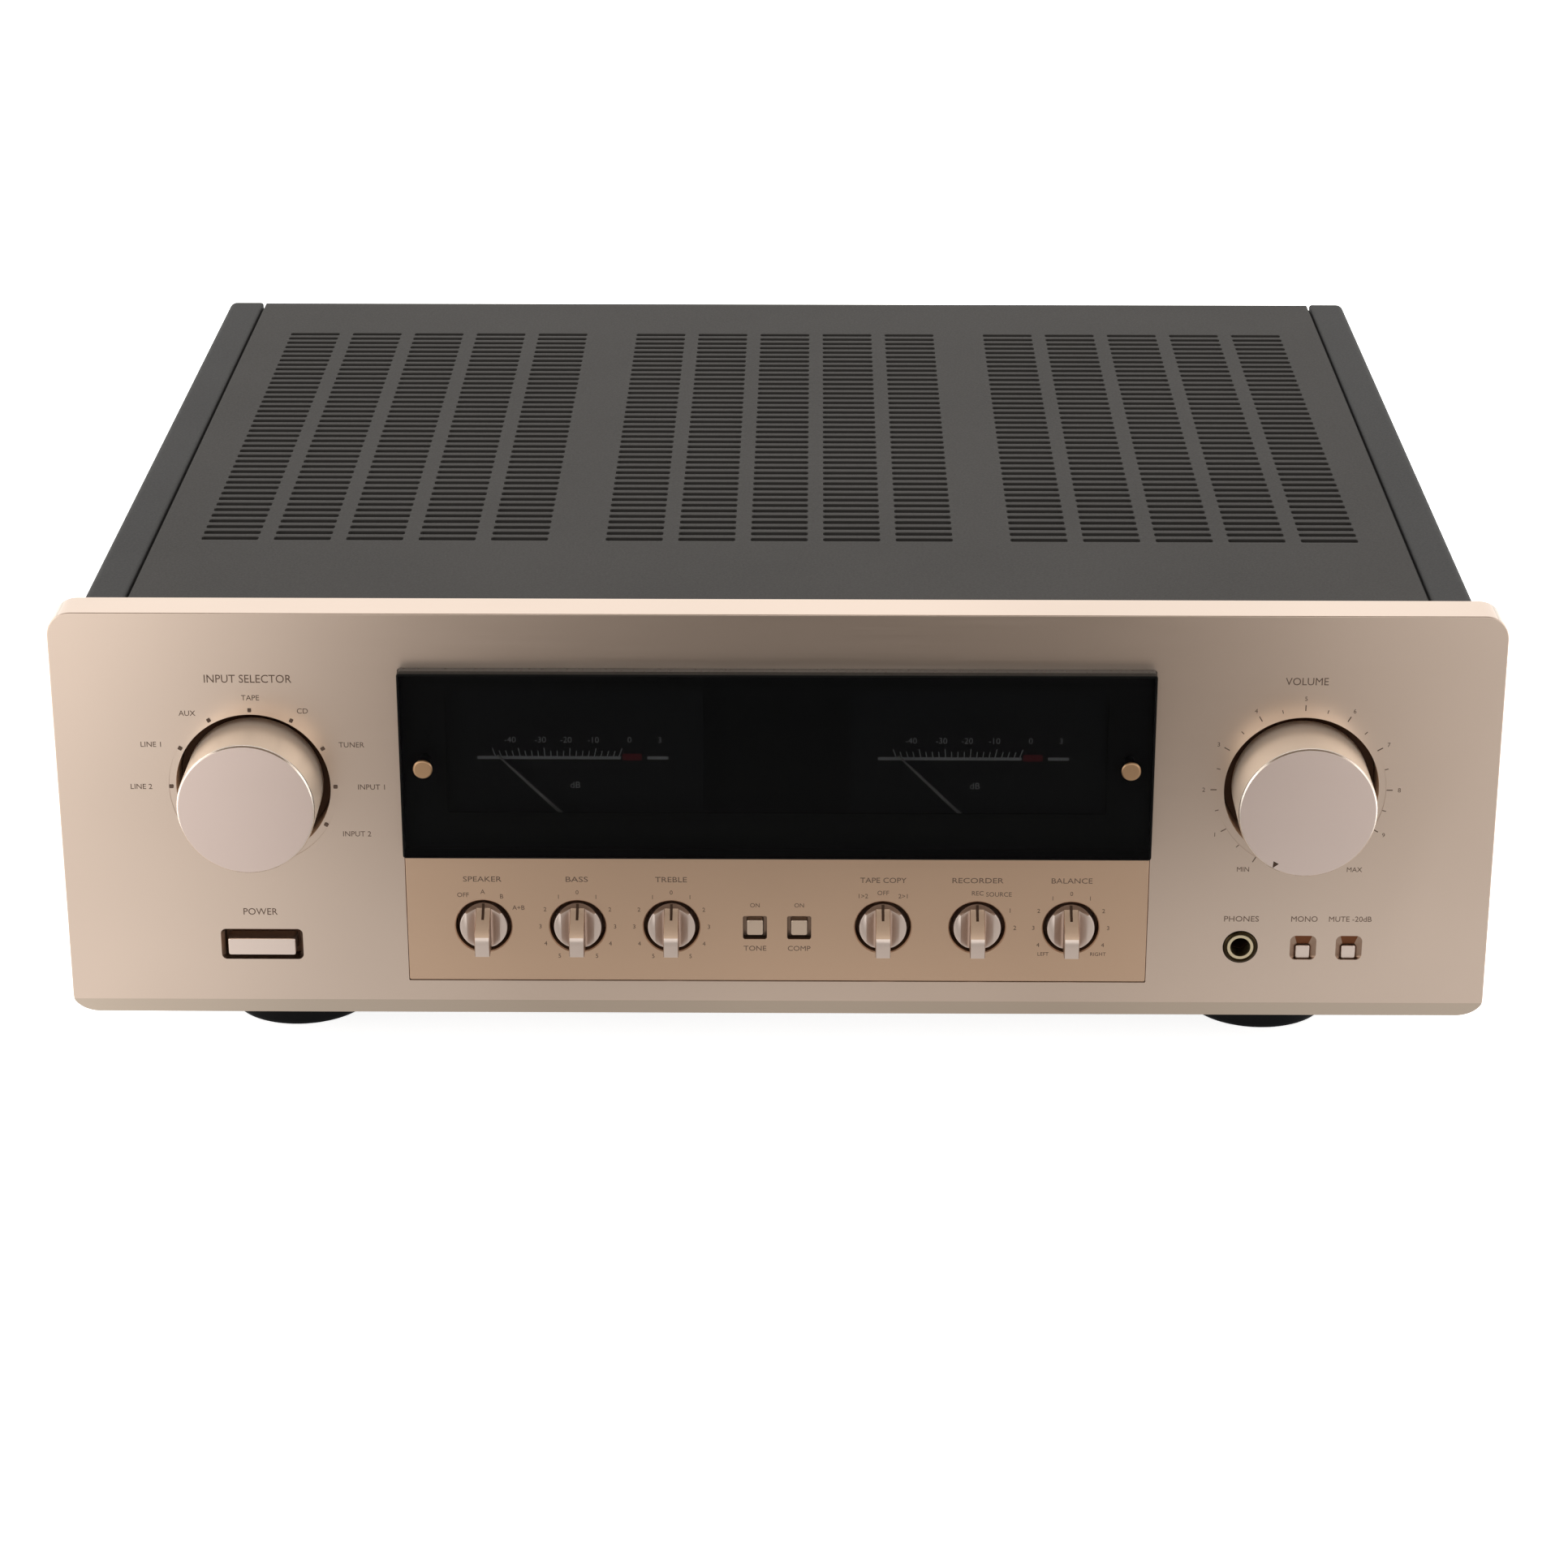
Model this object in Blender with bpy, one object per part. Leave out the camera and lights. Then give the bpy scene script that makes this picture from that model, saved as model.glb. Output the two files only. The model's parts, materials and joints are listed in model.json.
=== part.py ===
"""Integrated stereo amplifier, built as separate pieces. Metres, +Z up, front facing -Y.

The origin is on the surface that the amplifier stands on, under the middle of its bounding box.
Pieces on the front are laid out from the front face of the front panel, pieces on the back from
the outer face of the rear panel.
"""
import math

import bmesh
import bpy
from mathutils import Matrix

# Whole object
WIDTH = 0.475
HEIGHT = 0.170
DEPTH = 0.422
GAP = 0.0003                     # between pieces that touch
OVERSHOOT = 0.002                # how far a cutter passes the face it opens

# Front panel
FOOT_HEIGHT = 0.025
PANEL_HEIGHT = HEIGHT - FOOT_HEIGHT
PANEL_THICK = 0.015
PANEL_CORNER = 0.008
PANEL_EDGE = 0.0012
PANEL_CHAMFER_UP = 0.0065
PANEL_CHAMFER_BACK = 0.004
KNOB_PROUD = 0.020
FACE_Y = -DEPTH / 2 + KNOB_PROUD
PANEL_MIDDLE_Z = FOOT_HEIGHT + PANEL_HEIGHT / 2

# Case
CASE_HALF = 0.2296
CASE_TOP = HEIGHT - 0.003
CASE_BOTTOM = FOOT_HEIGHT + GAP
SIDE_WALL = 0.004
SIDE_STRIP = 0.0144              # part of the side panel that shows beside the top cover
SIDE_CORNER = 0.0045
LEDGE = 0.007                    # step that the top cover rests on
LEDGE_THICK = 0.0032
COVER_THICK = 0.002
SHEET = 0.0015
TERMINAL_PROUD = 0.021
REAR_Y = DEPTH / 2 - TERMINAL_PROUD
CASE_FRONT_Y = FACE_Y + PANEL_THICK + GAP
INNER_HALF = CASE_HALF - SIDE_WALL - GAP

# Vents in the top cover: three groups of five columns
VENT_COLUMNS = 5
VENT_PITCH = 0.0249
VENT_LENGTH = 0.0198
VENT_GROUPS = (-0.139, 0.0, 0.139)
VENT_FRONT = FACE_Y + 0.0818
VENT_BACK = FACE_Y + 0.3363

# Opening for the display window and the control sub-panel below it
OPENING_HALF = 0.124
OPENING_LOW = FOOT_HEIGHT + 0.0136
OPENING_HIGH = FOOT_HEIGHT + 0.1258
WINDOW_LOW = FOOT_HEIGHT + 0.0600
WINDOW_PROUD = 0.0042
WINDOW_BACK = 0.0030
SUBPANEL_THICK = 0.006

# Large knobs
KNOB_X = 0.1728
KNOB_Z = FOOT_HEIGHT + 0.08406
KNOB_RADIUS = 0.0226
KNOB_EDGE = 0.0007
KNOB_BACK = 0.006
RECESS_RADIUS = 0.0263
RECESS_RIM = 0.00155
SHAFT_RADIUS = 0.003
SHAFT_END = 0.030

# Small knobs
SMALL_Z = FOOT_HEIGHT + 0.03375
SMALL_KNOBS = {
    "speaker_knob": -0.0982,
    "bass_knob": -0.0667,
    "treble_knob": -0.0353,
    "tape_copy_knob": 0.0354,
    "recorder_knob": 0.0669,
    "balance_knob": 0.0982,
}
SMALL_RADIUS = 0.008
SMALL_HOLE = 0.0097
SMALL_SHAFT = 0.002
SMALL_SHAFT_END = 0.024
GRIP_WIDTH = 0.005
GRIP_PROUD = 0.0085

# Buttons: middle of each, its face size, the size of its hole and how deep its face lies
SMALL_BUTTON_Z = FOOT_HEIGHT + 0.0335
CORNER_BUTTON_Z = FOOT_HEIGHT + 0.027
BUTTONS = {
    "power_button": (-0.1727, FOOT_HEIGHT + 0.0271, 0.0226, 0.0080, 0.0272, 0.0110, 0.0012),
    "tone_button": (-0.0074, SMALL_BUTTON_Z, 0.0057, 0.0057, 0.0074, 0.0077, 0.0003),
    "compensator_button": (0.0074, SMALL_BUTTON_Z, 0.0057, 0.0057, 0.0074, 0.0077, 0.0003),
    "mono_button": (0.1761, CORNER_BUTTON_Z, 0.0076, 0.0078, 0.0098, 0.0100, 0.0008),
    "attenuator_button": (0.1914, CORNER_BUTTON_Z, 0.0076, 0.0078, 0.0098, 0.0100, 0.0008),
}
BUTTON_DEPTH = 0.008
STEM_RADIUS = 0.0015
STEM_END = 0.0175

# Headphone socket
JACK_X = 0.1551
JACK_Z = FOOT_HEIGHT + 0.0271
JACK_RADIUS = 0.0057
JACK_BORE = 0.0032

# Level meters
METER_X = 0.0663
METER_PIVOT_Z = FOOT_HEIGHT + 0.0668
NEEDLE_LENGTH = 0.037
NEEDLE_REST = math.radians(45)   # to the left of straight up
DIAL_WIDTH = 0.084
DIAL_LOW = WINDOW_LOW + 0.002
DIAL_HIGH = OPENING_HIGH - 0.002
DIAL_FRONT = 0.0085
DIAL_THICK = 0.001
MOVEMENT_RADIUS = 0.010
STUD_X = 0.116
STUD_Z = FOOT_HEIGHT + 0.09245
STUD_RADIUS = 0.0032

# Feet
FOOT_X = 0.168
FOOT_Y = 0.122
FOOT_RADIUS = 0.0235

# Rear sockets and terminals
POST_X = (0.093, 0.118, 0.143, 0.168)
POST_Z = FOOT_HEIGHT + 0.040
POST_STUD = 0.0025
SOCKET_COLUMNS = 7
SOCKET_PITCH = 0.020
SOCKET_X = 0.115
SOCKET_Z = FOOT_HEIGHT + 0.105
SOCKET_RADIUS = 0.0042
INLET_Z = FOOT_HEIGHT + 0.040

# Inside
SINK_INNER = 0.146
SINK_BASE = 0.006
SINK_FIN = 0.060
SINK_FINS = 9
SINK_FRONT = -0.105
SINK_BACK = 0.115

# Colour, roughness and metallic value of each finish
FINISHES = {
    "panel_gold": ((0.52, 0.40, 0.31), 0.38, 1.0),
    "subpanel_gold": ((0.45, 0.31, 0.21), 0.40, 1.0),
    "knob_gold": ((0.58, 0.46, 0.38), 0.30, 1.0),
    "window_glass": ((0.01, 0.01, 0.01), 0.05, 0.0),
    "stud_brass": ((0.55, 0.33, 0.16), 0.30, 1.0),
    "side_grey": ((0.095, 0.092, 0.090), 0.50, 0.3),
    "cover_grey": ((0.100, 0.095, 0.088), 0.50, 0.3),
    "chassis_black": ((0.020, 0.019, 0.018), 0.60, 0.0),
    "foot_black": ((0.018, 0.017, 0.016), 0.45, 0.0),
    "dial_black": ((0.006, 0.006, 0.007), 0.60, 0.0),
    "needle_white": ((0.80, 0.80, 0.76), 0.50, 0.0),
    "socket_gold": ((0.80, 0.58, 0.25), 0.25, 1.0),
    "moulded_black": ((0.015, 0.015, 0.015), 0.45, 0.0),
    "cap_red": ((0.35, 0.02, 0.02), 0.35, 0.0),
    "cap_black": ((0.02, 0.02, 0.02), 0.35, 0.0),
    "board_green": ((0.02, 0.12, 0.06), 0.50, 0.0),
    "sink_aluminium": ((0.55, 0.55, 0.56), 0.45, 1.0),
    "can_steel": ((0.30, 0.30, 0.31), 0.40, 1.0),
    "sleeve_blue": ((0.03, 0.05, 0.12), 0.40, 0.0),
}


def face_y(distance):
    """World Y of a point that far behind the front face of the front panel."""
    return FACE_Y + distance


# ---- outlines: closed lists of (u, v) points, counter-clockwise ----

def circle(radius, segments):
    turn = 2 * math.pi / segments
    return [(radius * math.cos(i * turn), radius * math.sin(i * turn)) for i in range(segments)]


def rectangle(width, height):
    return [(width / 2, height / 2), (-width / 2, height / 2),
            (-width / 2, -height / 2), (width / 2, -height / 2)]


def rounded_rectangle(width, height, radius, steps=3):
    points = []
    for quarter, (side, up) in enumerate(((1, 1), (-1, 1), (-1, -1), (1, -1))):
        for i in range(steps + 1):
            angle = math.pi / 2 * (quarter + i / steps)
            points.append((side * (width / 2 - radius) + radius * math.cos(angle),
                           up * (height / 2 - radius) + radius * math.sin(angle)))
    return points


# ---- solids: lists of cross-sections with the same number of points ----

def along_y(outline, start, end, x=0.0, z=0.0):
    return [[(x + u, y, z + v) for u, v in outline] for y in (start, end)]


def along_z(outline, start, end, x=0.0, y=0.0):
    return [[(x + u, y + v, z) for u, v in outline] for z in (start, end)]


def along_x(outline, start, end):
    return [[(x, u, v) for u, v in outline] for x in (start, end)]


def turned_y(profile, segments, x=0.0, z=0.0):
    """A body of revolution about Y. The profile is a list of (radius, y)."""
    return [[(x + u, y, z + v) for u, v in circle(radius, segments)] for radius, y in profile]


def turned_z(profile, segments):
    """A body of revolution about Z. The profile is a list of (radius, z)."""
    return [[(u, v, z) for u, v in circle(radius, segments)] for radius, z in profile]


def stepped_y(steps, corner):
    """Rounded rectangles along Y. Each step is (width, height, y)."""
    return [[(u, y, v) for u, v in rounded_rectangle(width, height, corner)]
            for width, height, y in steps]


# ---- objects ----

def finish(name):
    """The material of that name, made the first time it is asked for."""
    if name in bpy.data.materials:
        return bpy.data.materials[name]
    colour, roughness, metallic = FINISHES[name]
    material = bpy.data.materials.new(name)
    material.use_nodes = True
    shader = material.node_tree.nodes["Principled BSDF"]
    shader.inputs["Base Color"].default_value = (*colour, 1.0)
    shader.inputs["Roughness"].default_value = roughness
    shader.inputs["Metallic"].default_value = metallic
    material.diffuse_color = (*colour, 1.0)
    return material


def mesh_of(name, solids):
    """A mesh that holds each solid as a skinned and capped stack of cross-sections."""
    bm = bmesh.new()
    for sections in solids:
        rings = [[bm.verts.new(point) for point in section] for section in sections]
        for ring, following in zip(rings, rings[1:]):
            for i in range(len(ring)):
                j = (i + 1) % len(ring)
                bm.faces.new((ring[i], ring[j], following[j], following[i]))
        bm.faces.new(rings[0])
        bm.faces.new(rings[-1])
    bmesh.ops.recalc_face_normals(bm, faces=bm.faces)
    mesh = bpy.data.meshes.new(name)
    bm.to_mesh(mesh)
    bm.free()
    return mesh


def add(name, slot, place, *solids):
    """A piece made of one solid. The solid's points are measured from place."""
    mesh = mesh_of(name, solids)
    mesh.materials.append(finish(slot))
    mesh.shade_smooth()
    mesh.set_sharp_from_angle(angle=math.radians(35))
    piece = bpy.data.objects.new(name, mesh)
    piece.location = place
    bpy.context.scene.collection.objects.link(piece)
    return piece


def combine(piece, operation, label, *solids):
    """Applies solids to the piece with a Boolean. They are measured from the piece's place."""
    tool = bpy.data.objects.new(piece.name + label, mesh_of(piece.name + label, solids))
    tool.location = piece.location
    tool.hide_render = True
    tool.display_type = "WIRE"
    bpy.context.scene.collection.objects.link(tool)
    modifier = piece.modifiers.new(label.strip("_"), "BOOLEAN")
    modifier.operation = operation
    modifier.solver = "EXACT"
    modifier.object = tool
    return piece


def cut(piece, *solids):
    return combine(piece, "DIFFERENCE", "_cutter", *solids)


def join(piece, *solids):
    return combine(piece, "UNION", "_addition", *solids)


def mirrored_pair(name):
    """(suffix, side) for the left and right piece, seen from the front."""
    return ((name + "_left", -1), (name + "_right", 1))


# ---- front panel and what it holds ----

def knob_recess(x):
    """Through hole for a large knob, with a bevelled rim."""
    z = KNOB_Z - PANEL_MIDDLE_Z
    flare = RECESS_RADIUS + RECESS_RIM + OVERSHOOT
    profile = ((flare, -OVERSHOOT), (RECESS_RADIUS, RECESS_RIM),
               (RECESS_RADIUS, PANEL_THICK + OVERSHOOT))
    return turned_y(profile, 48, x, z)


def button_hole(name, through, middle_z):
    x, z, _, _, width, height, _ = BUTTONS[name]
    outline = rounded_rectangle(width, height, 0.2 * height, 2)
    return along_y(outline, -OVERSHOOT, through + OVERSHOOT, x, z - middle_z)


def front_panel():
    inset = 2 * PANEL_EDGE
    body = [(WIDTH - inset, PANEL_HEIGHT - inset, PANEL_CORNER - PANEL_EDGE, 0.0),
            (WIDTH, PANEL_HEIGHT, PANEL_CORNER, PANEL_EDGE),
            (WIDTH, PANEL_HEIGHT, PANEL_CORNER, PANEL_THICK)]
    sections = [[(u, y, v) for u, v in rounded_rectangle(width, height, corner, 5)]
                for width, height, corner, y in body]
    panel = add("front_panel", "panel_gold", (0, FACE_Y, PANEL_MIDDLE_Z), sections)

    opening_middle = (OPENING_LOW + OPENING_HIGH) / 2 - PANEL_MIDDLE_Z
    opening = along_y(rectangle(2 * OPENING_HALF, OPENING_HIGH - OPENING_LOW),
                      -OVERSHOOT, PANEL_THICK + OVERSHOOT, 0, opening_middle)
    slope = PANEL_CHAMFER_UP / PANEL_CHAMFER_BACK
    bottom = -PANEL_HEIGHT / 2
    before = bottom + PANEL_CHAMFER_UP + slope * OVERSHOOT
    after = bottom - slope * OVERSHOOT
    wedge = [(-OVERSHOOT, before), (-OVERSHOOT, after), (PANEL_CHAMFER_BACK + OVERSHOOT, after)]
    chamfer = along_x(wedge, -WIDTH / 2 - OVERSHOOT, WIDTH / 2 + OVERSHOOT)
    socket = along_y(circle(JACK_RADIUS + GAP, 24), -OVERSHOOT, PANEL_THICK + OVERSHOOT,
                     JACK_X, JACK_Z - PANEL_MIDDLE_Z)
    holes = [button_hole(name, PANEL_THICK, PANEL_MIDDLE_Z)
             for name in ("power_button", "mono_button", "attenuator_button")]
    cut(panel, opening, chamfer, socket, knob_recess(-KNOB_X), knob_recess(KNOB_X), *holes)


def control_subpanel():
    low = OPENING_LOW + GAP
    high = WINDOW_LOW - GAP
    middle = (low + high) / 2
    plate = along_y(rectangle(2 * (OPENING_HALF - GAP), high - low), 0.0, SUBPANEL_THICK)
    subpanel = add("control_subpanel", "subpanel_gold", (0, face_y(GAP / 2), middle), plate)
    round_holes = [along_y(circle(SMALL_HOLE, 28), -OVERSHOOT, SUBPANEL_THICK + OVERSHOOT,
                           x, SMALL_Z - middle) for x in SMALL_KNOBS.values()]
    square_holes = [button_hole(name, SUBPANEL_THICK, middle)
                    for name in ("tone_button", "compensator_button")]
    cut(subpanel, *round_holes, *square_holes)


def display_window():
    low = WINDOW_LOW + GAP / 2
    high = OPENING_HIGH - GAP
    width = 2 * (OPENING_HALF - GAP)
    middle = (low + high) / 2
    edge = 0.0008
    steps = [(width - 2 * edge, high - low - 2 * edge, -WINDOW_PROUD),
             (width, high - low, -WINDOW_PROUD + edge),
             (width, high - low, WINDOW_BACK)]
    window = add("display_window", "window_glass", (0, FACE_Y, middle), stepped_y(steps, 0.001))
    holes = [along_y(circle(0.0018, 12), -0.01, 0.01, side * STUD_X, STUD_Z - middle)
             for side in (-1, 1)]
    cut(window, *holes)
    for name, side in mirrored_pair("window_stud"):
        front = -WINDOW_PROUD - GAP
        profile = ((STUD_RADIUS - 0.0004, front - 0.0009), (STUD_RADIUS, front - 0.0005),
                   (STUD_RADIUS, front), (0.0014, front), (0.0014, 0.0125))
        add(name, "stud_brass", (side * STUD_X, FACE_Y, STUD_Z), turned_y(profile, 16))


def large_knob(name, side):
    profile = ((KNOB_RADIUS - KNOB_EDGE, -KNOB_PROUD), (KNOB_RADIUS, -KNOB_PROUD + KNOB_EDGE),
               (KNOB_RADIUS, KNOB_BACK), (SHAFT_RADIUS, KNOB_BACK), (SHAFT_RADIUS, SHAFT_END))
    add(name, "knob_gold", (side * KNOB_X, FACE_Y, KNOB_Z), turned_y(profile, 48))


def small_knob(name, x):
    """A disc that lies in its hole, with a grip bar whose upper end slopes back."""
    profile = ((SMALL_RADIUS - 0.0004, 0.0), (SMALL_RADIUS, 0.0004), (SMALL_RADIUS, 0.0055),
               (SMALL_SHAFT, 0.0055), (SMALL_SHAFT, SMALL_SHAFT_END))
    knob = add(name, "knob_gold", (x, FACE_Y, SMALL_Z), turned_y(profile, 28))
    reach = SMALL_RADIUS - 0.0008
    side_view = [(0.002, reach), (-0.0015, reach), (-GRIP_PROUD, 0.6 * reach),
                 (-GRIP_PROUD, -reach), (0.002, -reach)]
    join(knob, along_x(side_view, -GRIP_WIDTH / 2, GRIP_WIDTH / 2))


def button(name):
    x, z, width, height, _, _, depth = BUTTONS[name]
    back = depth + BUTTON_DEPTH
    edge = 0.0004
    corner = 0.0008
    stem = 2 * STEM_RADIUS
    steps = [(width - 2 * edge, height - 2 * edge, depth), (width, height, depth + edge),
             (width, height, back), (stem, stem, back), (stem, stem, STEM_END)]
    add(name, "knob_gold", (x, FACE_Y, z), stepped_y(steps, corner))


def headphone_jack():
    profile = ((JACK_BORE, 0.032), (JACK_BORE, -0.0006), (JACK_RADIUS, -0.0006),
               (JACK_RADIUS, 0.036))
    add("headphone_jack", "moulded_black", (JACK_X, FACE_Y, JACK_Z), turned_y(profile, 24))


def meters():
    dial_middle = (DIAL_LOW + DIAL_HIGH) / 2
    pivot = METER_PIVOT_Z - dial_middle
    dial_back = DIAL_FRONT + DIAL_THICK
    for name, side in mirrored_pair("meter_dial"):
        plate = along_y(rectangle(DIAL_WIDTH, DIAL_HIGH - DIAL_LOW), DIAL_FRONT, dial_back)
        dial = add(name, "dial_black", (side * METER_X, FACE_Y, dial_middle), plate)
        cut(dial, along_y(circle(0.0018, 12), 0.0, 0.02, 0, pivot))
    for name, side in mirrored_pair("meter_movement"):
        front = dial_back + GAP
        profile = ((0.0014, front + 0.010), (0.0014, front), (MOVEMENT_RADIUS, front),
                   (MOVEMENT_RADIUS, front + 0.020))
        place = (side * METER_X, FACE_Y, METER_PIVOT_Z)
        add(name, "moulded_black", place, turned_y(profile, 20))
    lean = Matrix.Rotation(-NEEDLE_REST, 4, "Y")
    for name, side in mirrored_pair("meter_needle"):
        profile = ((0.0022, 0.0055), (0.0022, 0.0078), (0.0010, 0.0078), (0.0010, 0.0160))
        place = (side * METER_X, FACE_Y, METER_PIVOT_Z)
        needle = add(name, "needle_white", place, turned_y(profile, 16))
        blade = [[(u, y, v + NEEDLE_LENGTH / 2) for u, v in rectangle(0.0008, NEEDLE_LENGTH)]
                 for y in (0.0062, 0.0070)]
        join(needle, blade)
        needle.modifiers["addition"].object.matrix_world = Matrix.Translation(place) @ lean


def front_subchassis():
    """Plate behind the front panel, with a hole for everything that passes through it."""
    plate = add("front_subchassis", "chassis_black", (0, CASE_FRONT_Y, 0),
                along_y(end_outline(), 0.0, SHEET))
    tools = [along_y(circle(0.0045, 16), -OVERSHOOT, 2 * OVERSHOOT, side * KNOB_X, KNOB_Z)
             for side in (-1, 1)]
    tools += [along_y(circle(MOVEMENT_RADIUS + 0.0006, 20), -OVERSHOOT, 2 * OVERSHOOT,
                      side * METER_X, METER_PIVOT_Z) for side in (-1, 1)]
    tools += [along_y(circle(0.003, 12), -OVERSHOOT, 2 * OVERSHOOT, x, SMALL_Z)
              for x in SMALL_KNOBS.values()]
    tools += [along_y(rectangle(0.005, 0.005), -OVERSHOOT, 2 * OVERSHOOT, entry[0], entry[1])
              for entry in BUTTONS.values()]
    tools.append(along_y(circle(JACK_RADIUS + 0.0006, 20), -OVERSHOOT, 2 * OVERSHOOT,
                         JACK_X, JACK_Z))
    cut(plate, *tools)


# ---- case ----

def end_outline():
    """Outline of the front and rear plates, which fit round the ledges of the side panels."""
    ledge_edge = CASE_HALF - SIDE_STRIP - LEDGE - GAP
    top = CASE_TOP - COVER_THICK - GAP
    shoulder = top - LEDGE_THICK - GAP
    bottom = CASE_BOTTOM + SHEET + 2 * GAP
    return [(ledge_edge, top), (-ledge_edge, top), (-ledge_edge, shoulder),
            (-INNER_HALF, shoulder), (-INNER_HALF, bottom), (INNER_HALF, bottom),
            (INNER_HALF, shoulder), (ledge_edge, shoulder)]


def side_panels():
    """Channels with a round upper corner, a strip beside the cover and a ledge under it."""
    strip = CASE_HALF - SIDE_STRIP
    wall = CASE_HALF - SIDE_WALL
    ledge_top = CASE_TOP - COVER_THICK - GAP
    ledge_low = ledge_top - LEDGE_THICK
    lip_top = CASE_BOTTOM + SHEET
    corner = [(CASE_HALF - SIDE_CORNER * (1 - math.cos(angle)),
               CASE_TOP - SIDE_CORNER * (1 - math.sin(angle)))
              for angle in (math.pi / 2 * i / 5 for i in range(6))]
    outline = [(CASE_HALF, CASE_BOTTOM), *corner, (strip, CASE_TOP), (strip, ledge_top),
               (strip - LEDGE, ledge_top), (strip - LEDGE, ledge_low), (wall, ledge_low),
               (wall, lip_top), (strip, lip_top), (strip, CASE_BOTTOM)]
    for name, side in mirrored_pair("side_panel"):
        sections = along_y([(side * u, v) for u, v in outline], CASE_FRONT_Y, REAR_Y)
        add(name, "side_grey", (0, 0, 0), sections)


def top_cover():
    half = CASE_HALF - SIDE_STRIP - GAP
    depth = REAR_Y - CASE_FRONT_Y
    middle_y = (REAR_Y + CASE_FRONT_Y) / 2
    cover = add("top_cover", "cover_grey", (0, middle_y, CASE_TOP - COVER_THICK),
                along_z(rectangle(2 * half, depth), 0.0, COVER_THICK))
    vent_middle = (VENT_FRONT + VENT_BACK) / 2 - middle_y
    vents = []
    for group in VENT_GROUPS:
        for column in range(VENT_COLUMNS):
            x = group + (column - (VENT_COLUMNS - 1) / 2) * VENT_PITCH
            vents.append(along_z(rectangle(VENT_LENGTH, VENT_BACK - VENT_FRONT),
                                 -OVERSHOOT, COVER_THICK + OVERSHOOT, x, vent_middle))
    cut(cover, *vents)


def bottom_plate():
    half = CASE_HALF - SIDE_STRIP - GAP
    depth = REAR_Y - CASE_FRONT_Y
    middle_y = (REAR_Y + CASE_FRONT_Y) / 2
    plate = add("bottom_plate", "chassis_black", (0, middle_y, CASE_BOTTOM),
                along_z(rectangle(2 * half, depth), 0.0, SHEET))
    vents = [along_z(rectangle(0.05, 0.004), -OVERSHOOT, OVERSHOOT + SHEET,
                     side * (SINK_INNER + 0.030), row * 0.012)
             for side in (-1, 1) for row in range(-4, 5)]
    cut(plate, *vents)


def rear_panel():
    panel = add("rear_panel", "chassis_black", (0, REAR_Y, 0),
                along_y(end_outline(), -SHEET, 0.0))
    tools = [along_y(circle(POST_STUD + 0.0008, 12), -2 * OVERSHOOT, OVERSHOOT, side * x, POST_Z)
             for side in (-1, 1) for x in POST_X]
    tools.append(along_y(rectangle(SOCKET_COLUMNS * SOCKET_PITCH + 2 * GAP, 0.040 + 2 * GAP),
                         -2 * OVERSHOOT, OVERSHOOT, SOCKET_X, SOCKET_Z))
    tools.append(along_y(rectangle(0.0288, 0.0218), -2 * OVERSHOOT, OVERSHOOT, 0, INLET_Z))
    cut(panel, *tools)


def feet():
    profile = ((FOOT_RADIUS - 0.0025, 0.0), (FOOT_RADIUS, 0.0025), (FOOT_RADIUS, FOOT_HEIGHT - 0.004),
               (FOOT_RADIUS - 0.002, FOOT_HEIGHT))
    for end, y in (("front", -FOOT_Y), ("rear", FOOT_Y)):
        for name, side in mirrored_pair("foot_" + end):
            add(name, "foot_black", (side * FOOT_X, y, 0), turned_z(profile, 28))


# ---- rear sockets and terminals, measured outwards from the rear panel ----

def speaker_terminals():
    span = POST_X[-1] - POST_X[0] + 0.022
    middle = (POST_X[0] + POST_X[-1]) / 2
    for name, side in mirrored_pair("speaker_terminal_base"):
        base = add(name, "moulded_black", (side * middle, REAR_Y, POST_Z),
                   along_y(rounded_rectangle(span, 0.026, 0.003), GAP, 0.003))
        studs = [along_y(circle(POST_STUD, 10), -0.012, 0.017, side * (x - middle))
                 for x in POST_X]
        join(base, *studs)
    cap = ((POST_STUD + 0.0004, 0.0176), (POST_STUD + 0.0004, 0.0034), (0.0072, 0.0034),
           (0.0072, 0.0190), (0.0058, TERMINAL_PROUD))
    for channel, side in (("left", -1), ("right", 1)):
        for index, x in enumerate(POST_X):
            pair = "a" if index < 2 else "b"
            pole = ("negative", "positive")[index % 2]
            slot = ("cap_black", "cap_red")[index % 2]
            add(f"speaker_cap_{channel}_{pair}_{pole}", slot, (side * x, REAR_Y, POST_Z),
                turned_y(cap, 16))


def signal_sockets():
    block = add("signal_sockets", "socket_gold", (SOCKET_X, REAR_Y, SOCKET_Z),
                along_y(rectangle(SOCKET_COLUMNS * SOCKET_PITCH, 0.040), -0.016, 0.001))
    barrels = [along_y(circle(SOCKET_RADIUS, 12), -0.008, 0.0105,
                       (column - (SOCKET_COLUMNS - 1) / 2) * SOCKET_PITCH, row * 0.0095)
               for column in range(SOCKET_COLUMNS) for row in (-1, 1)]
    join(block, *barrels)


def mains_inlet():
    """Recessed socket: the list runs from the bottom of the recess, round the flange, inwards."""
    steps = [(0.0245, 0.0175, -0.014), (0.0245, 0.0175, 0.003), (0.034, 0.027, 0.003),
             (0.034, 0.027, GAP), (0.028, 0.021, GAP), (0.028, 0.021, -0.020)]
    add("mains_inlet", "moulded_black", (0, REAR_Y, INLET_Z), stepped_y(steps, 0.002))


# ---- inside ----

def shaft_bore(radius, x=0.0, z=0.0, end=0.0335):
    return along_y(circle(radius + 0.0004, 14), 0.010, end, x, z)


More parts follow.
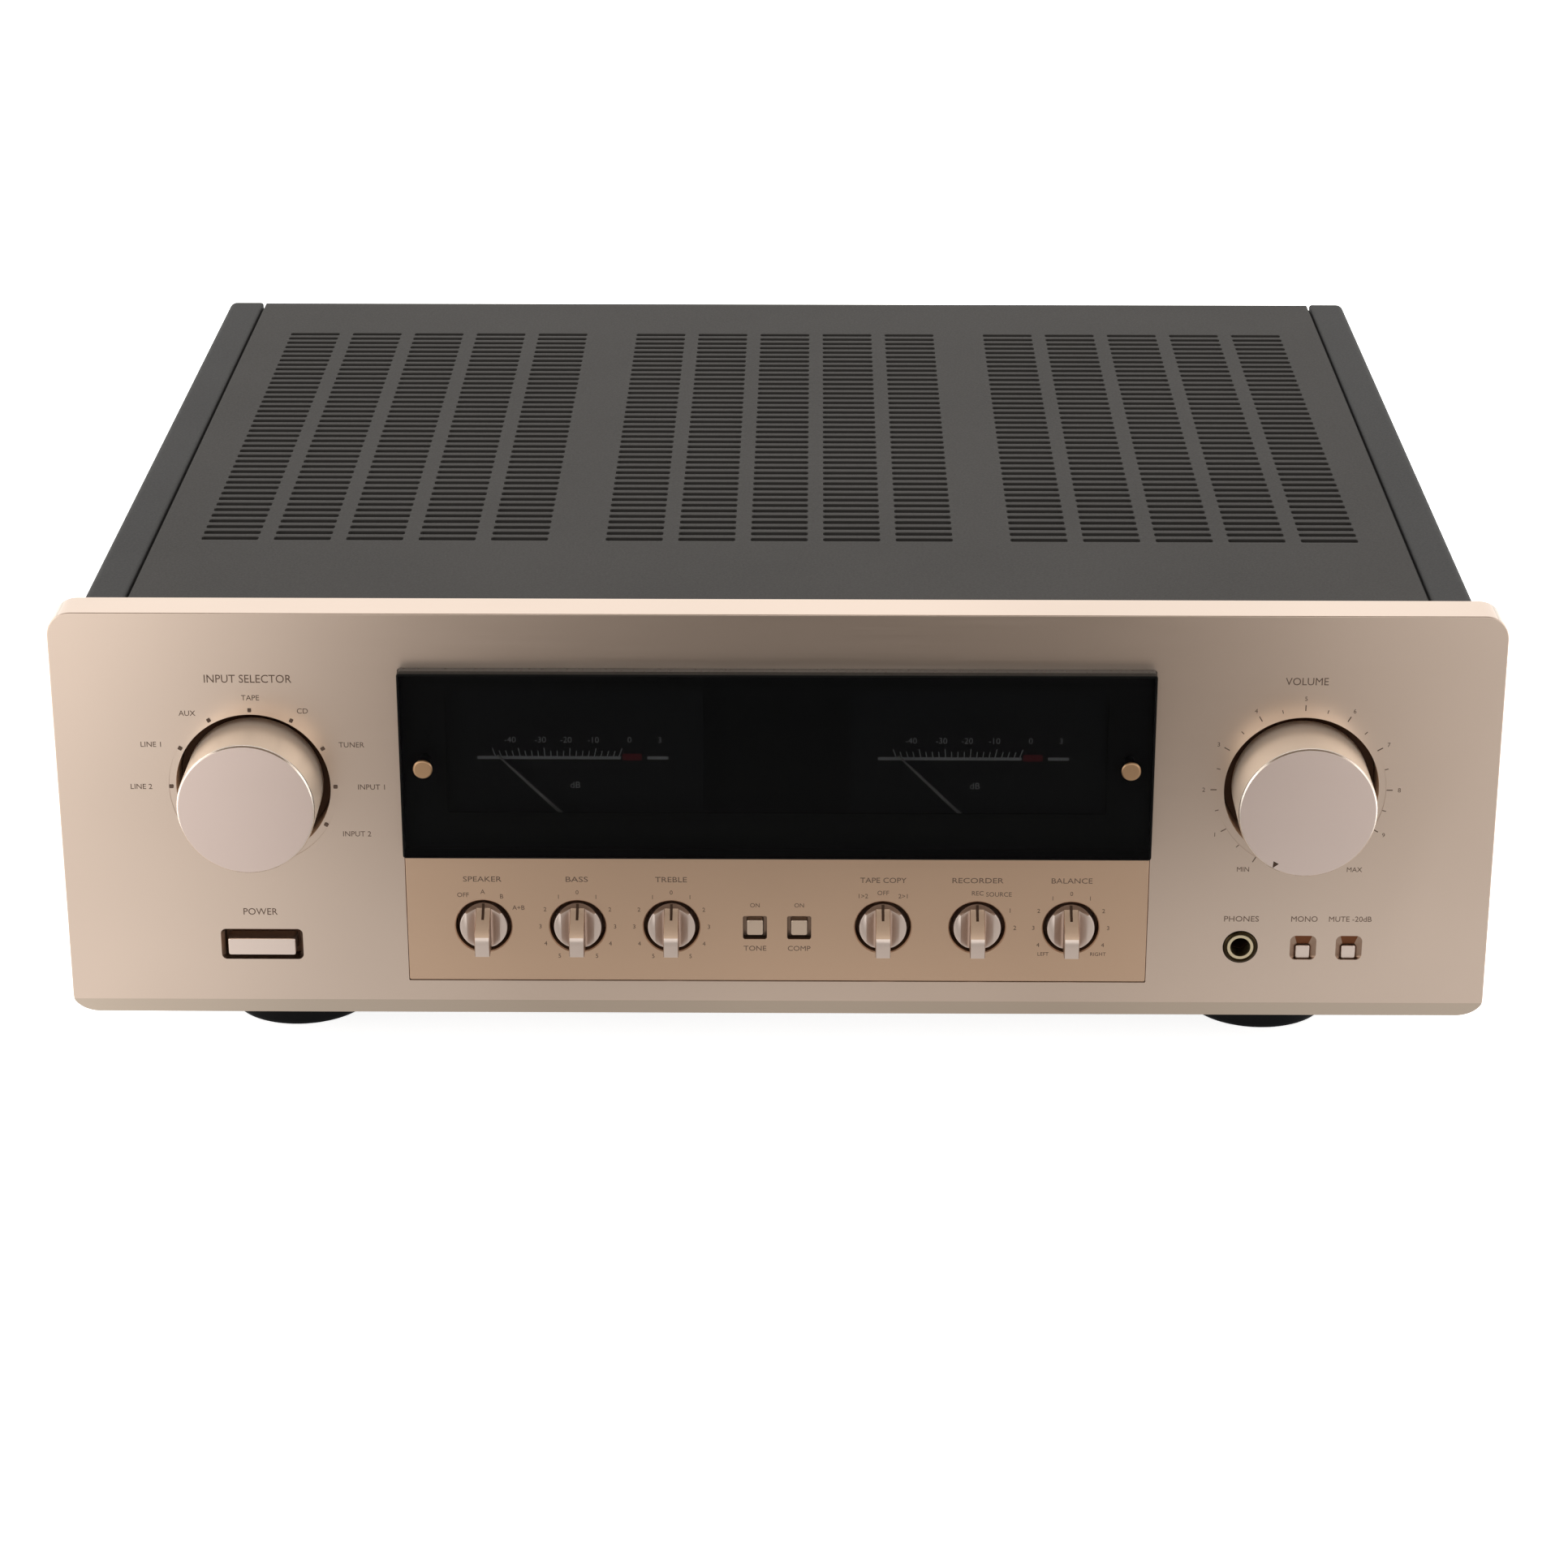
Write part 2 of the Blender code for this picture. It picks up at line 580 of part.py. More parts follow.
def controls():
    """Parts that the knobs and buttons work, behind the front subchassis."""
    volume = add("volume_potentiometer", "can_steel", (KNOB_X, FACE_Y, KNOB_Z),
                 along_y(rectangle(0.030, 0.030), 0.0185, 0.050))
    join(volume, along_y(circle(0.012, 20), 0.048, 0.075))
    cut(volume, shaft_bore(SHAFT_RADIUS))
    selector = add("input_selector_switch", "can_steel", (-KNOB_X, FACE_Y, KNOB_Z),
                   along_y(circle(0.016, 24), 0.0185, 0.042))
    cut(selector, shaft_bore(SHAFT_RADIUS))
    x, z = BUTTONS["power_button"][:2]
    add("power_switch", "moulded_black", (x, FACE_Y, z),
        along_y(rectangle(0.024, 0.016), 0.0215, 0.045))
    board = add("tone_control_board", "board_green", (0, FACE_Y, SMALL_Z),
                along_y(rectangle(0.225, 0.030), 0.030, 0.0316))
    pots = [along_y(rectangle(0.016, 0.016), 0.0185, 0.0305, x) for x in SMALL_KNOBS.values()]
    switches = [along_y(rectangle(0.010, 0.010), 0.0205, 0.0305, side * BUTTONS["mono_button"][2])
                for side in (-1, 1)]
    join(board, *pots, *switches)
    cut(board, *[shaft_bore(SMALL_SHAFT, x, 0.0, 0.0262) for x in SMALL_KNOBS.values()])


def power_supply():
    can = ((0.010, 0.090), (0.010, 0.106), (0.060, 0.106), (0.066, 0.100), (0.066, 0.034),
           (0.062, CASE_BOTTOM + SHEET + GAP))
    add("power_transformer", "can_steel", (0, -0.090, 0), turned_z(can, 36))
    add("power_supply_board", "board_green", (0, 0.030, 0.036),
        along_z(rectangle(0.200, 0.080), 0.0, 0.0016))
    foot = 0.036 + 0.0016 + GAP
    for name, side in mirrored_pair("filter_capacitor"):
        sleeve = ((0.032, foot), (0.032, 0.126), (0.030, 0.128))
        add(name, "sleeve_blue", (side * 0.052, 0.030, 0), turned_z(sleeve, 24))
    add("preamp_board", "board_green", (0, 0.120, 0.112),
        along_z(rectangle(0.230, 0.070), 0.0, 0.0016))


def heat_sinks():
    """Vertical fins on a base plate, with the amplifier board on its inner side."""
    pitch = (SINK_BACK - SINK_FRONT) / SINK_FINS
    fin = 0.0025
    outline = [(0.0, SINK_BACK), (0.0, SINK_FRONT)]
    for i in range(SINK_FINS):
        middle = SINK_FRONT + (i + 0.5) * pitch
        outline += [(SINK_BASE, middle - fin), (SINK_BASE + SINK_FIN, middle - fin / 2),
                    (SINK_BASE + SINK_FIN, middle + fin / 2), (SINK_BASE, middle + fin)]
    outline.insert(2, (SINK_BASE, SINK_FRONT))
    outline.append((SINK_BASE, SINK_BACK))
    for name, side in mirrored_pair("heat_sink"):
        sections = along_z([(side * u, v) for u, v in outline], 0.030, 0.155)
        add(name, "sink_aluminium", (side * SINK_INNER, 0, 0), sections)
    for name, side in mirrored_pair("amplifier_board"):
        inner = side * (SINK_INNER - GAP - 0.0016)
        outer = side * (SINK_INNER - GAP)
        sections = along_x(rectangle(0.200, 0.095), min(inner, outer), max(inner, outer))
        add(name, "board_green", (0, 0, 0.090), sections)


def build():
    for old in list(bpy.data.objects):
        bpy.data.objects.remove(old, do_unlink=True)
    front_panel()
    control_subpanel()
    display_window()
    large_knob("input_selector_knob", -1)
    large_knob("volume_knob", 1)
    for name, x in SMALL_KNOBS.items():
        small_knob(name, x)
    for name in BUTTONS:
        button(name)
    headphone_jack()
    meters()
    front_subchassis()
    side_panels()
    top_cover()
    bottom_plate()
    rear_panel()
    feet()
    speaker_terminals()
    signal_sockets()
    mains_inlet()
    controls()
    power_supply()
    heat_sinks()


build()
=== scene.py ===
"""Looks of the integrated stereo amplifier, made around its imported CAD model. Metres, +Z up, front to -Y."""
import json
import math
import random

import bmesh
import bpy
from mathutils import Matrix, Vector


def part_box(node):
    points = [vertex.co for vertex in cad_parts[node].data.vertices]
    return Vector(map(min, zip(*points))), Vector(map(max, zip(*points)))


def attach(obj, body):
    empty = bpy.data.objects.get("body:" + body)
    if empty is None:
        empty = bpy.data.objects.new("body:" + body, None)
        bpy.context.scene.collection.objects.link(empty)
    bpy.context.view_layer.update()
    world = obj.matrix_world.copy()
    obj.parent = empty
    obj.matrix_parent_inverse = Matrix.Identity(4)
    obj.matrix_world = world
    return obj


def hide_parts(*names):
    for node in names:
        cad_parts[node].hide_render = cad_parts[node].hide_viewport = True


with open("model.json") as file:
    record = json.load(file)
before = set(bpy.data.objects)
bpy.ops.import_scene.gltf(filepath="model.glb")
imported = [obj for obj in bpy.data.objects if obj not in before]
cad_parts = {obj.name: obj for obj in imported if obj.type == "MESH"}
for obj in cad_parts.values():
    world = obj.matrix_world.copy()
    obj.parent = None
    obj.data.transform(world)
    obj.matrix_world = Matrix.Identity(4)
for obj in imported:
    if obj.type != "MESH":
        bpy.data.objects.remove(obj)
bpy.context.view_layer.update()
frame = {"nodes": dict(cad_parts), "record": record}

MM = 0.001
TAU = 2 * math.pi
scene = bpy.context.scene


def middle(node):
    """The middle of a CAD node's box."""
    low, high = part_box(node)
    return (low + high) / 2


# Planes and places read from the frame
FACE_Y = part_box("front_panel")[0].y
PANEL_LOW, PANEL_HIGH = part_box("front_panel")
PANEL_MIDDLE_Z = middle("front_panel").z
SUBPANEL_LOW, SUBPANEL_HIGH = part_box("control_subpanel")
WINDOW_LOW, WINDOW_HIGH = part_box("display_window")
COVER_LOW, COVER_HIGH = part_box("top_cover")
REAR_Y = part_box("rear_panel")[1].y
DIAL_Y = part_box("meter_dial_left")[0].y

# Details that the frame doesn't hold, in millimetres on the real object
RECESS_RADIUS = 25.5 * MM        # hole round a large knob
RECESS_MOUTH = 27.85 * MM        # shallow step round that hole, where the selector's marks are
RECESS_DEPTH = 0.2 * MM
SEAM = 0.09 * MM                 # gap round the window and the sub-panel
SMALL_HOLE = 9.7 * MM            # radius of the hole round a small knob
LETTER_LIFT = 0.03 * MM          # how far printed lettering stands on its surface
COVER_INSET = 0.3 * MM           # of the cover's sides, for the seam
VENT_GROUPS = 3
VENT_COLUMNS = 5
VENT_ROWS = 42
VENT_COLUMN_PITCH = 24.9 * MM
VENT_GROUP_PITCH = 139.0 * MM
VENT_LENGTH = 19.8 * MM
VENT_WIDTH = 3.6 * MM
VENT_FRONT = FACE_Y + 80.25 * MM
VENT_PITCH = 6.134 * MM
WINDOW_LIFT = 1.8 * MM           # how much further out than its CAD node the window's sheet stands
WINDOW_RISE = 0.7 * MM           # how much the raised part of the sheet sits above its opening
MASK_Z = PANEL_LOW.z + 95.35 * MM  # middle of the clear part of the window
MASK_WIDTH, MASK_HEIGHT = 218.0 * MM, 43.3 * MM
POWER_LIFT = 2.3 * MM            # how much further out than its CAD node the power button stands
FOOT_SHIFT = 1.1 * MM            # of each foot, out to the side, and added to its radius
CORNERS = ("front_left", "front_right", "rear_left", "rear_right")


# ---- materials ----

HAIRLINES = (25, 2500, 4200)     # features for each metre: long along X, fine across it


def add_node(tree, kind, **values):
    """A shader node. The values are for its inputs, with underscores where the inputs' names have spaces."""
    node = tree.nodes.new("ShaderNode" + kind)
    for name, value in values.items():
        node.inputs[name.replace("_", " ")].default_value = value
    return node


class Shader:
    """A Principled material built from nodes, with short helpers to add a pattern to it."""

    def __init__(self, name, colour, roughness, metallic=0.0, specular=0.5):
        self.material = bpy.data.materials.new(name)
        self.material.use_nodes = True
        self.tree = self.material.node_tree
        self.out = self.tree.nodes["Principled BSDF"]
        self.colour = colour
        self.out.inputs["Base Color"].default_value = (*colour, 1.0)
        self.out.inputs["Roughness"].default_value = roughness
        self.out.inputs["Metallic"].default_value = metallic
        self.out.inputs["Specular IOR Level"].default_value = specular
        self.material.diffuse_color = (*colour, 1.0)
        self.place = add_node(self.tree, "TexCoord").outputs["Object"]

    def link(self, source, target):
        self.tree.links.new(source, target)

    def noise(self, scale, detail=3.0):
        """Noise from 0 to 1. The scale is features for each metre along X, Y and Z."""
        mapping = add_node(self.tree, "Mapping", Scale=scale)
        self.link(self.place, mapping.inputs["Vector"])
        node = add_node(self.tree, "TexNoise", Scale=1.0, Detail=detail, Roughness=0.55)
        self.link(mapping.outputs["Vector"], node.inputs["Vector"])
        return node.outputs["Fac"]

    def roughness(self, value, low, high):
        """Roughness from low to high, as value goes from 0.3 to 0.7."""
        node = add_node(self.tree, "MapRange", From_Min=0.3, From_Max=0.7, To_Min=low, To_Max=high)
        self.link(value, node.inputs["Value"])
        self.link(node.outputs["Result"], self.out.inputs["Roughness"])

    def tones(self, value, darker, lighter):
        """Colour that goes from darker to lighter times the plain colour, as value goes from 0.3 to 0.7."""
        ramp = add_node(self.tree, "ValToRGB")
        for element, share, at in zip(ramp.color_ramp.elements, (darker, lighter), (0.3, 0.7)):
            element.position = at
            element.color = (*(min(1.0, c * share) for c in self.colour), 1.0)
        self.link(value, ramp.inputs["Fac"])
        self.link(ramp.outputs["Color"], self.out.inputs["Base Color"])

    def bump(self, value, depth):
        """Relief of that depth in metres."""
        node = add_node(self.tree, "Bump", Distance=depth, Strength=1.0)
        self.link(value, node.inputs["Height"])
        self.link(node.outputs["Normal"], self.out.inputs["Normal"])


def brushed_metal(name, colour, roughness, scale, metallic=1.0):
    """Anodised metal with fine hairlines: the scale is small along the hairlines and large across them."""
    s = Shader(name, colour, roughness, metallic)
    hair = s.noise(scale, 4.0)
    s.tones(s.noise((9, 9, 9), 2.0), 0.97, 1.03)
    s.roughness(hair, roughness - 0.015, roughness + 0.015)
    s.bump(hair, 0.0003 * MM)
    return s.material


def painted_metal(name, colour, roughness):
    """Fine textured paint."""
    s = Shader(name, colour, roughness, 0.0, 0.1)
    fine = s.noise((1400, 1400, 1400), 2.0)
    s.tones(s.noise((14, 14, 14), 3.0), 0.95, 1.05)
    s.roughness(fine, roughness - 0.05, roughness + 0.07)
    s.bump(fine, 0.02 * MM)
    return s.material


def plastic(name, colour, roughness, grain=900, depth=0.01 * MM, specular=0.3):
    """Moulded plastic with a faint grain."""
    s = Shader(name, colour, roughness, 0.0, specular)
    fine = s.noise((grain, grain, grain), 2.0)
    s.tones(s.noise((60, 60, 60), 3.0), 0.9, 1.1)
    s.roughness(fine, roughness - 0.04, roughness + 0.05)
    s.bump(fine, depth)
    return s.material


def smoked_glass():
    """Dark see-through sheet."""
    s = Shader("smoked_glass", (0.002, 0.002, 0.0022), 0.04, 0.0, 0.08)
    s.out.inputs["Alpha"].default_value = 0.5
    s.roughness(s.noise((40, 40, 40), 3.0), 0.03, 0.07)
    return s.material


def circuit_board():
    """Green solder mask with paler copper runs under it."""
    s = Shader("circuit_board", (0.010, 0.075, 0.035), 0.4)
    bricks = add_node(s.tree, "TexBrick", Scale=120.0, Mortar_Size=0.03, Color1=(0.010, 0.075, 0.035, 1),
                      Color2=(0.014, 0.095, 0.045, 1), Mortar=(0.05, 0.16, 0.07, 1))
    s.link(s.place, bricks.inputs["Vector"])
    s.link(bricks.outputs["Color"], s.out.inputs["Base Color"])
    s.bump(bricks.outputs["Fac"], 0.02 * MM)
    return s.material


MATERIALS = {
    "panel": brushed_metal("panel_gold", (0.68, 0.555, 0.465), 0.30, HAIRLINES),
    "subpanel": brushed_metal("subpanel_gold", (0.64, 0.455, 0.325), 0.36, HAIRLINES),
    # Lighter copy of the panel's metal for its upper and lower sides: painted highlight.
    "panel_edge_highlight": brushed_metal("panel_edge_highlight", (0.82, 0.67, 0.56), 0.30, HAIRLINES),
    # Darker copy of the panel's metal for its left and right sides and the lower chamfer: painted shade.
    "chamfer": brushed_metal("panel_chamfer_and_side_shade", (0.54, 0.45, 0.365), 0.30, HAIRLINES),
    "hole_wall": plastic("hole_wall", (0.45, 0.29, 0.19), 0.5),
    # Dark brown for the upper part of the sloped mouths round the mono and mute buttons: painted shade.
    "scoop": brushed_metal("scoop_painted_shade", (0.17, 0.065, 0.03), 0.5, (60, 60, 60)),
    # Darker brown copy of the gold for the mouths of openings and the plates behind the small buttons: painted
    # shade.
    "bevel": brushed_metal("bevel_painted_shade", (0.34, 0.235, 0.175), 0.38, (60, 60, 60)),
    "knob_side": brushed_metal("knob_side", (0.88, 0.77, 0.65), 0.34, (900, 14, 900), metallic=0.75),
    "knob_face": brushed_metal("knob_face", (0.76, 0.63, 0.575), 0.36, HAIRLINES),
    "volume_face": brushed_metal("volume_face", (0.83, 0.70, 0.645), 0.36, HAIRLINES),
    "knob_edge": brushed_metal("knob_edge", (0.80, 0.72, 0.64), 0.22, (200, 200, 200)),
    "button": brushed_metal("button_gold", (0.79, 0.67, 0.60), 0.34, HAIRLINES),
    "key": brushed_metal("key_gold", (0.70, 0.56, 0.445), 0.36, HAIRLINES),
    # Darker brown for the upward-facing top of each small knob's bar: painted shade.
    "grip": brushed_metal("bar_top_painted_shade", (0.42, 0.30, 0.215), 0.42, (60, 60, 60), metallic=0.35),
    # Darker brown for each small knob's upper slope and its bar's eased edges: painted shade.
    "slope": brushed_metal("slope_painted_shade", (0.33, 0.23, 0.175), 0.38, (60, 60, 60)),
    "ink": plastic("ink_brown", (0.070, 0.045, 0.033), 0.6, specular=0.1),
    # Dark brown: the own colour of the pointers' marks and the socket's tube, and painted shade on the walls
    # of the buttons' slots.
    "recess": plastic("dark_marks_and_recess_shade", (0.034, 0.017, 0.009), 0.6, specular=0.15),
    # Dark brown for the small knobs' hole walls, the rings behind all knobs and the power button's plate:
    # painted shade.
    "well": plastic("well_painted_shade", (0.085, 0.038, 0.018), 0.6, specular=0.15),
    # Slightly darker copy of the cover's paint for the slots' walls: painted shade.
    "slot_wall_shade": painted_metal("slot_wall_shade", (0.034, 0.032, 0.030), 0.7),
    "glass": smoked_glass(),
    # Grey for the rear half of the window's upper edge, and a darker grey for its front half: painted
    # highlight on black glass.
    "glass_edge_highlight": plastic("window_edge_highlight", (0.036, 0.033, 0.030), 0.3, 800, 0.001 * MM),
    "glass_lip_highlight": plastic("window_lip_highlight", (0.012, 0.012, 0.011), 0.4, 800, 0.001 * MM, specular=0.1),
    "glass_side": plastic("window_side", (0.002, 0.002, 0.002), 0.4, specular=0.05),
    "mask": plastic("window_mask", (0.0015, 0.0015, 0.0015), 0.5),
    "dial": plastic("dial_card", (0.008, 0.009, 0.011), 0.55),
    "dial_ink": plastic("dial_ink", (0.32, 0.33, 0.34), 0.6),
    "dial_red": plastic("dial_red", (0.16, 0.012, 0.018), 0.6),
    "needle": plastic("needle_paint", (0.26, 0.26, 0.25), 0.5),
    "stud": brushed_metal("stud_brass", (0.56, 0.36, 0.21), 0.34, (60, 60, 60)),
    "cover": painted_metal("cover_grey", (0.038, 0.036, 0.034), 0.6),
    "side": painted_metal("side_grey", (0.036, 0.0355, 0.035), 0.6),
    "chassis": painted_metal("chassis_black", (0.012, 0.011, 0.011), 0.5),
    "foot": plastic("foot_black", (0.004, 0.004, 0.0042), 0.4, specular=0.05),
    "rubber": plastic("foot_rubber", (0.010, 0.010, 0.010), 0.75, 500, 0.03 * MM),
    "gold": brushed_metal("socket_gold", (0.86, 0.62, 0.25), 0.2, (90, 90, 90)),
    "nut": brushed_metal("nut_dark", (0.035, 0.024, 0.011), 0.3, (90, 90, 90)),
    "ferrule": brushed_metal("ferrule_pale", (0.72, 0.62, 0.42), 0.3, (90, 90, 90)),
    "moulded": plastic("moulded_black", (0.010, 0.009, 0.008), 0.42, specular=0.15),
    "red": plastic("moulded_red", (0.42, 0.012, 0.012), 0.3),
    "white": plastic("moulded_white", (0.62, 0.62, 0.60), 0.35),
    "print": plastic("print_white", (0.55, 0.55, 0.53), 0.5),
    "board": circuit_board(),
    "sink": brushed_metal("sink_aluminium", (0.52, 0.52, 0.53), 0.4, (700, 700, 8)),
    "steel": brushed_metal("plated_steel", (0.46, 0.46, 0.46), 0.3, (120, 120, 120)),
    "sleeve": plastic("sleeve_blue", (0.015, 0.025, 0.075), 0.35),
}


# ---- outlines and solids ----

CUT_OVER = 1.0 * MM              # how far cutters reach past the face they cut


def circle(radius, segments):
    return [(radius * math.cos(i * TAU / segments), radius * math.sin(i * TAU / segments))
            for i in range(segments)]


def rounded_rectangle(width, height, radius, steps=6):
    points = []
    for quarter, (side, up) in enumerate(((1, 1), (-1, 1), (-1, -1), (1, -1))):
        for i in range(steps + 1):
            angle = math.pi / 2 * (quarter + i / steps)
            points.append((side * (width / 2 - radius) + radius * math.cos(angle),
                           up * (height / 2 - radius) + radius * math.sin(angle)))
    return points


def turned_outline(outline, angle):
    """The outline turned clockwise."""
    cos, sin = math.cos(angle), math.sin(angle)
    return [(u * cos + v * sin, v * cos - u * sin) for u, v in outline]


def on_y(outline, y, x=0.0, z=0.0):
    return [(x + u, y, z + v) for u, v in outline]


def on_z(outline, z, x=0.0, y=0.0):
    return [(x + u, y + v, z) for u, v in outline]


def turned_y(profile, segments, centre, y):
    """Body of revolution about a line along Y. The profile is a list of (radius, distance from y)."""
    return [on_y(circle(radius, segments), y + depth, centre.x, centre.z) for radius, depth in profile]


def turned_z(profile, segments, x, y, z=0.0):
    return [on_z(circle(radius, segments), z + height, x, y) for radius, height in profile]


def slabs_y(steps, corner, x, y, z, round_steps=6):
    """Rounded rectangles along Y. Each step is (width, height, depth from y)."""
    return [on_y(rounded_rectangle(w, h, max(corner + (w - steps[-1][0]) / 2, 0.05 * MM), round_steps),
                 y + depth, x, z) for w, h, depth in steps]


def eased(radius, count=5):
    """(inset, depth) pairs that run round a quarter circle from a face to the side below it."""
    return [(radius * (1 - math.sin(i / count * math.pi / 2)),
             radius * (1 - math.cos(i / count * math.pi / 2))) for i in range(count + 1)]


def band_between(bm, ring, following):
    """Faces from one ring of points to the next."""
    count = len(ring)
    return [bm.faces.new((ring[i], ring[(i + 1) % count], following[(i + 1) % count], following[i]))
            for i in range(count)]


def add_solid(bm, sections, material_of=None, closed=False):
    """Skins cross-sections. material_of(i) is the material index of the band after section i."""
    rings = [[bm.verts.new(point) for point in section] for section in sections]
    pairs = list(zip(rings, rings[1:]))
    if closed:
        pairs.append((rings[-1], rings[0]))
    for band, (ring, following) in enumerate(pairs):
        for face in band_between(bm, ring, following):
            face.material_index = material_of(band) if material_of else 0
    if not closed:
        for ring, band in ((rings[0], -1), (rings[-1], len(rings) - 1)):
            face = bm.faces.new(ring)
            face.material_index = material_of(band) if material_of else 0


def mesh_from(name, solids, material_of=None, closed=False):
    bm = bmesh.new()
    for sections in solids:
        add_solid(bm, sections, material_of, closed)
    return mesh_of(name, bm)


def mesh_of(name, bm):
    bmesh.ops.recalc_face_normals(bm, faces=bm.faces)
    mesh = bpy.data.meshes.new(name)
    bm.to_mesh(mesh)
    bm.free()
    return mesh


def set_materials(mesh, keys):
    """Gives the mesh these materials. Each face keeps its index."""
    indices = [face.material_index for face in mesh.polygons]
    mesh.materials.clear()
    for key in keys:
        mesh.materials.append(MATERIALS[key])
    mesh.polygons.foreach_set("material_index", indices)


def piece(name, mesh, materials, body, replaces=(), weighted=True, angle=32):
    """A finished piece that rides on a body. materials is one key of MATERIALS, or several."""
    set_materials(mesh, [materials] if isinstance(materials, str) else materials)
    mesh.shade_smooth()
    mesh.set_sharp_from_angle(angle=math.radians(angle))
    shown = bpy.data.objects.new(name, mesh)
    scene.collection.objects.link(shown)
    if weighted:
        modifier = shown.modifiers.new("even_faces", "WEIGHTED_NORMAL")
        modifier.keep_sharp = True
    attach(shown, body)
    if replaces:
        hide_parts(*replaces)
    return shown


def combined(first, first_keys, second, second_keys, operation, overlapping=False):
    """One mesh from a Boolean of two, and its material keys. Faces keep the materials they came with."""
    set_materials(first, first_keys)
    set_materials(second, second_keys)
    things = [bpy.data.objects.new("operand", mesh) for mesh in (first, second)]
    for thing in things:
        scene.collection.objects.link(thing)
    modifier = things[0].modifiers.new("boolean", "BOOLEAN")
    modifier.operation = operation
    modifier.solver = "EXACT"
    modifier.object = things[1]
    modifier.material_mode = "TRANSFER"
    modifier.use_self = overlapping
    bpy.context.view_layer.update()
    shaped = things[0].evaluated_get(bpy.context.evaluated_depsgraph_get())
    result = bpy.data.meshes.new_from_object(shaped)
    keys = [next(k for k, m in MATERIALS.items() if m == found) for found in result.materials]
    for thing in things:
        bpy.data.objects.remove(thing, do_unlink=True)
    return result, keys


def turned_piece(name, profile, segments, centre, y, key, replaces=()):
    """A ring or tube about a line along Y, fixed to the chassis. Its profile is a closed loop."""
    mesh = mesh_from(name, [turned_y(profile, segments, centre, y)], closed=True)
    piece(name, mesh, key, "chassis", replaces)


def carved(mesh, cutter, materials, cutter_materials, overlapping=False):
    """The mesh with the cutter taken away. Cut faces have the cutter's materials."""
    return combined(mesh, materials, cutter, cutter_materials, "DIFFERENCE", overlapping)


def united(first, first_keys, second, second_keys):
    """Two meshes as one closed mesh."""
    return combined(first, first_keys, second, second_keys, "UNION")


def dress(node, key):
    """A better material for a CAD node that stays as it is."""
    shown = frame["nodes"][node]
    for place in shown.material_slots:
        place.link = "OBJECT"
        place.material = MATERIALS[key]
    if not shown.material_slots:
        shown.data.materials.append(MATERIALS[key])


def flared_slot(width, height, corner, flare, through, x, z, y=FACE_Y):
    """Cutter for a rounded opening whose mouth widens by flare."""
    wider = 2 * (flare + CUT_OVER)
    outlines = [(width + wider, height + wider, -CUT_OVER), (width, height, flare), (width, height, through)]
    return [on_y(rounded_rectangle(w, h, corner + (w - width) / 2), y + depth, x, z)
            for w, h, depth in outlines]


def scooped_slot(mouth, hole, through, x, z):
    """Cutter for an opening whose sides slope to a smaller hole, lower down than the mouth's middle.
    The mouth and the hole are (width, height, corner, rise) in millimetres."""
    depth = 1.5 * MM
    outer = [a + (a - b) * CUT_OVER / depth for a, b in zip(mouth, hole)]
    return [on_y(rounded_rectangle(width * MM, height * MM, corner * MM), FACE_Y + reach, x, z + rise * MM)
            for (width, height, corner, rise), reach in ((outer, -CUT_OVER), (hole, depth), (hole, through))]


def flared_hole(radius, flare, through, centre, segments, y=FACE_Y):
    profile = ((radius + flare + CUT_OVER, -CUT_OVER), (radius, flare), (radius, through))
    return turned_y(profile, segments, centre, y)


# ---- lettering ----

CAPITAL_SHARE = 0.7              # height of the font's capitals, as a share of its size


def text_mesh(text, height, width=None):
    """Flat raised letters in the XZ plane, centred on the origin, facing -Y. Sizes in millimetres."""
    curve = bpy.data.curves.new("letters", "FONT")
    curve.body = text
    curve.align_x = "CENTER"
    curve.align_y = "CENTER"
    curve.size = height * MM / CAPITAL_SHARE
    curve.resolution_u = 3
    curve.extrude = LETTER_LIFT / 2
    holder = bpy.data.objects.new("letters", curve)
    mesh = bpy.data.meshes.new_from_object(holder)
    bpy.data.objects.remove(holder, do_unlink=True)
    bpy.data.curves.remove(curve)
    xs = [v.co.x for v in mesh.vertices]
    ys = [v.co.y for v in mesh.vertices]
    stretch = width * MM / (max(xs) - min(xs)) if width else 1.0
    shift = Matrix.Translation((-(max(xs) + min(xs)) / 2, -(max(ys) + min(ys)) / 2, 0))
    mesh.transform(Matrix.Diagonal((stretch, 1, 1, 1)) @ shift)
    mesh.transform(Matrix.Rotation(math.radians(90), 4, "X"))
    return mesh


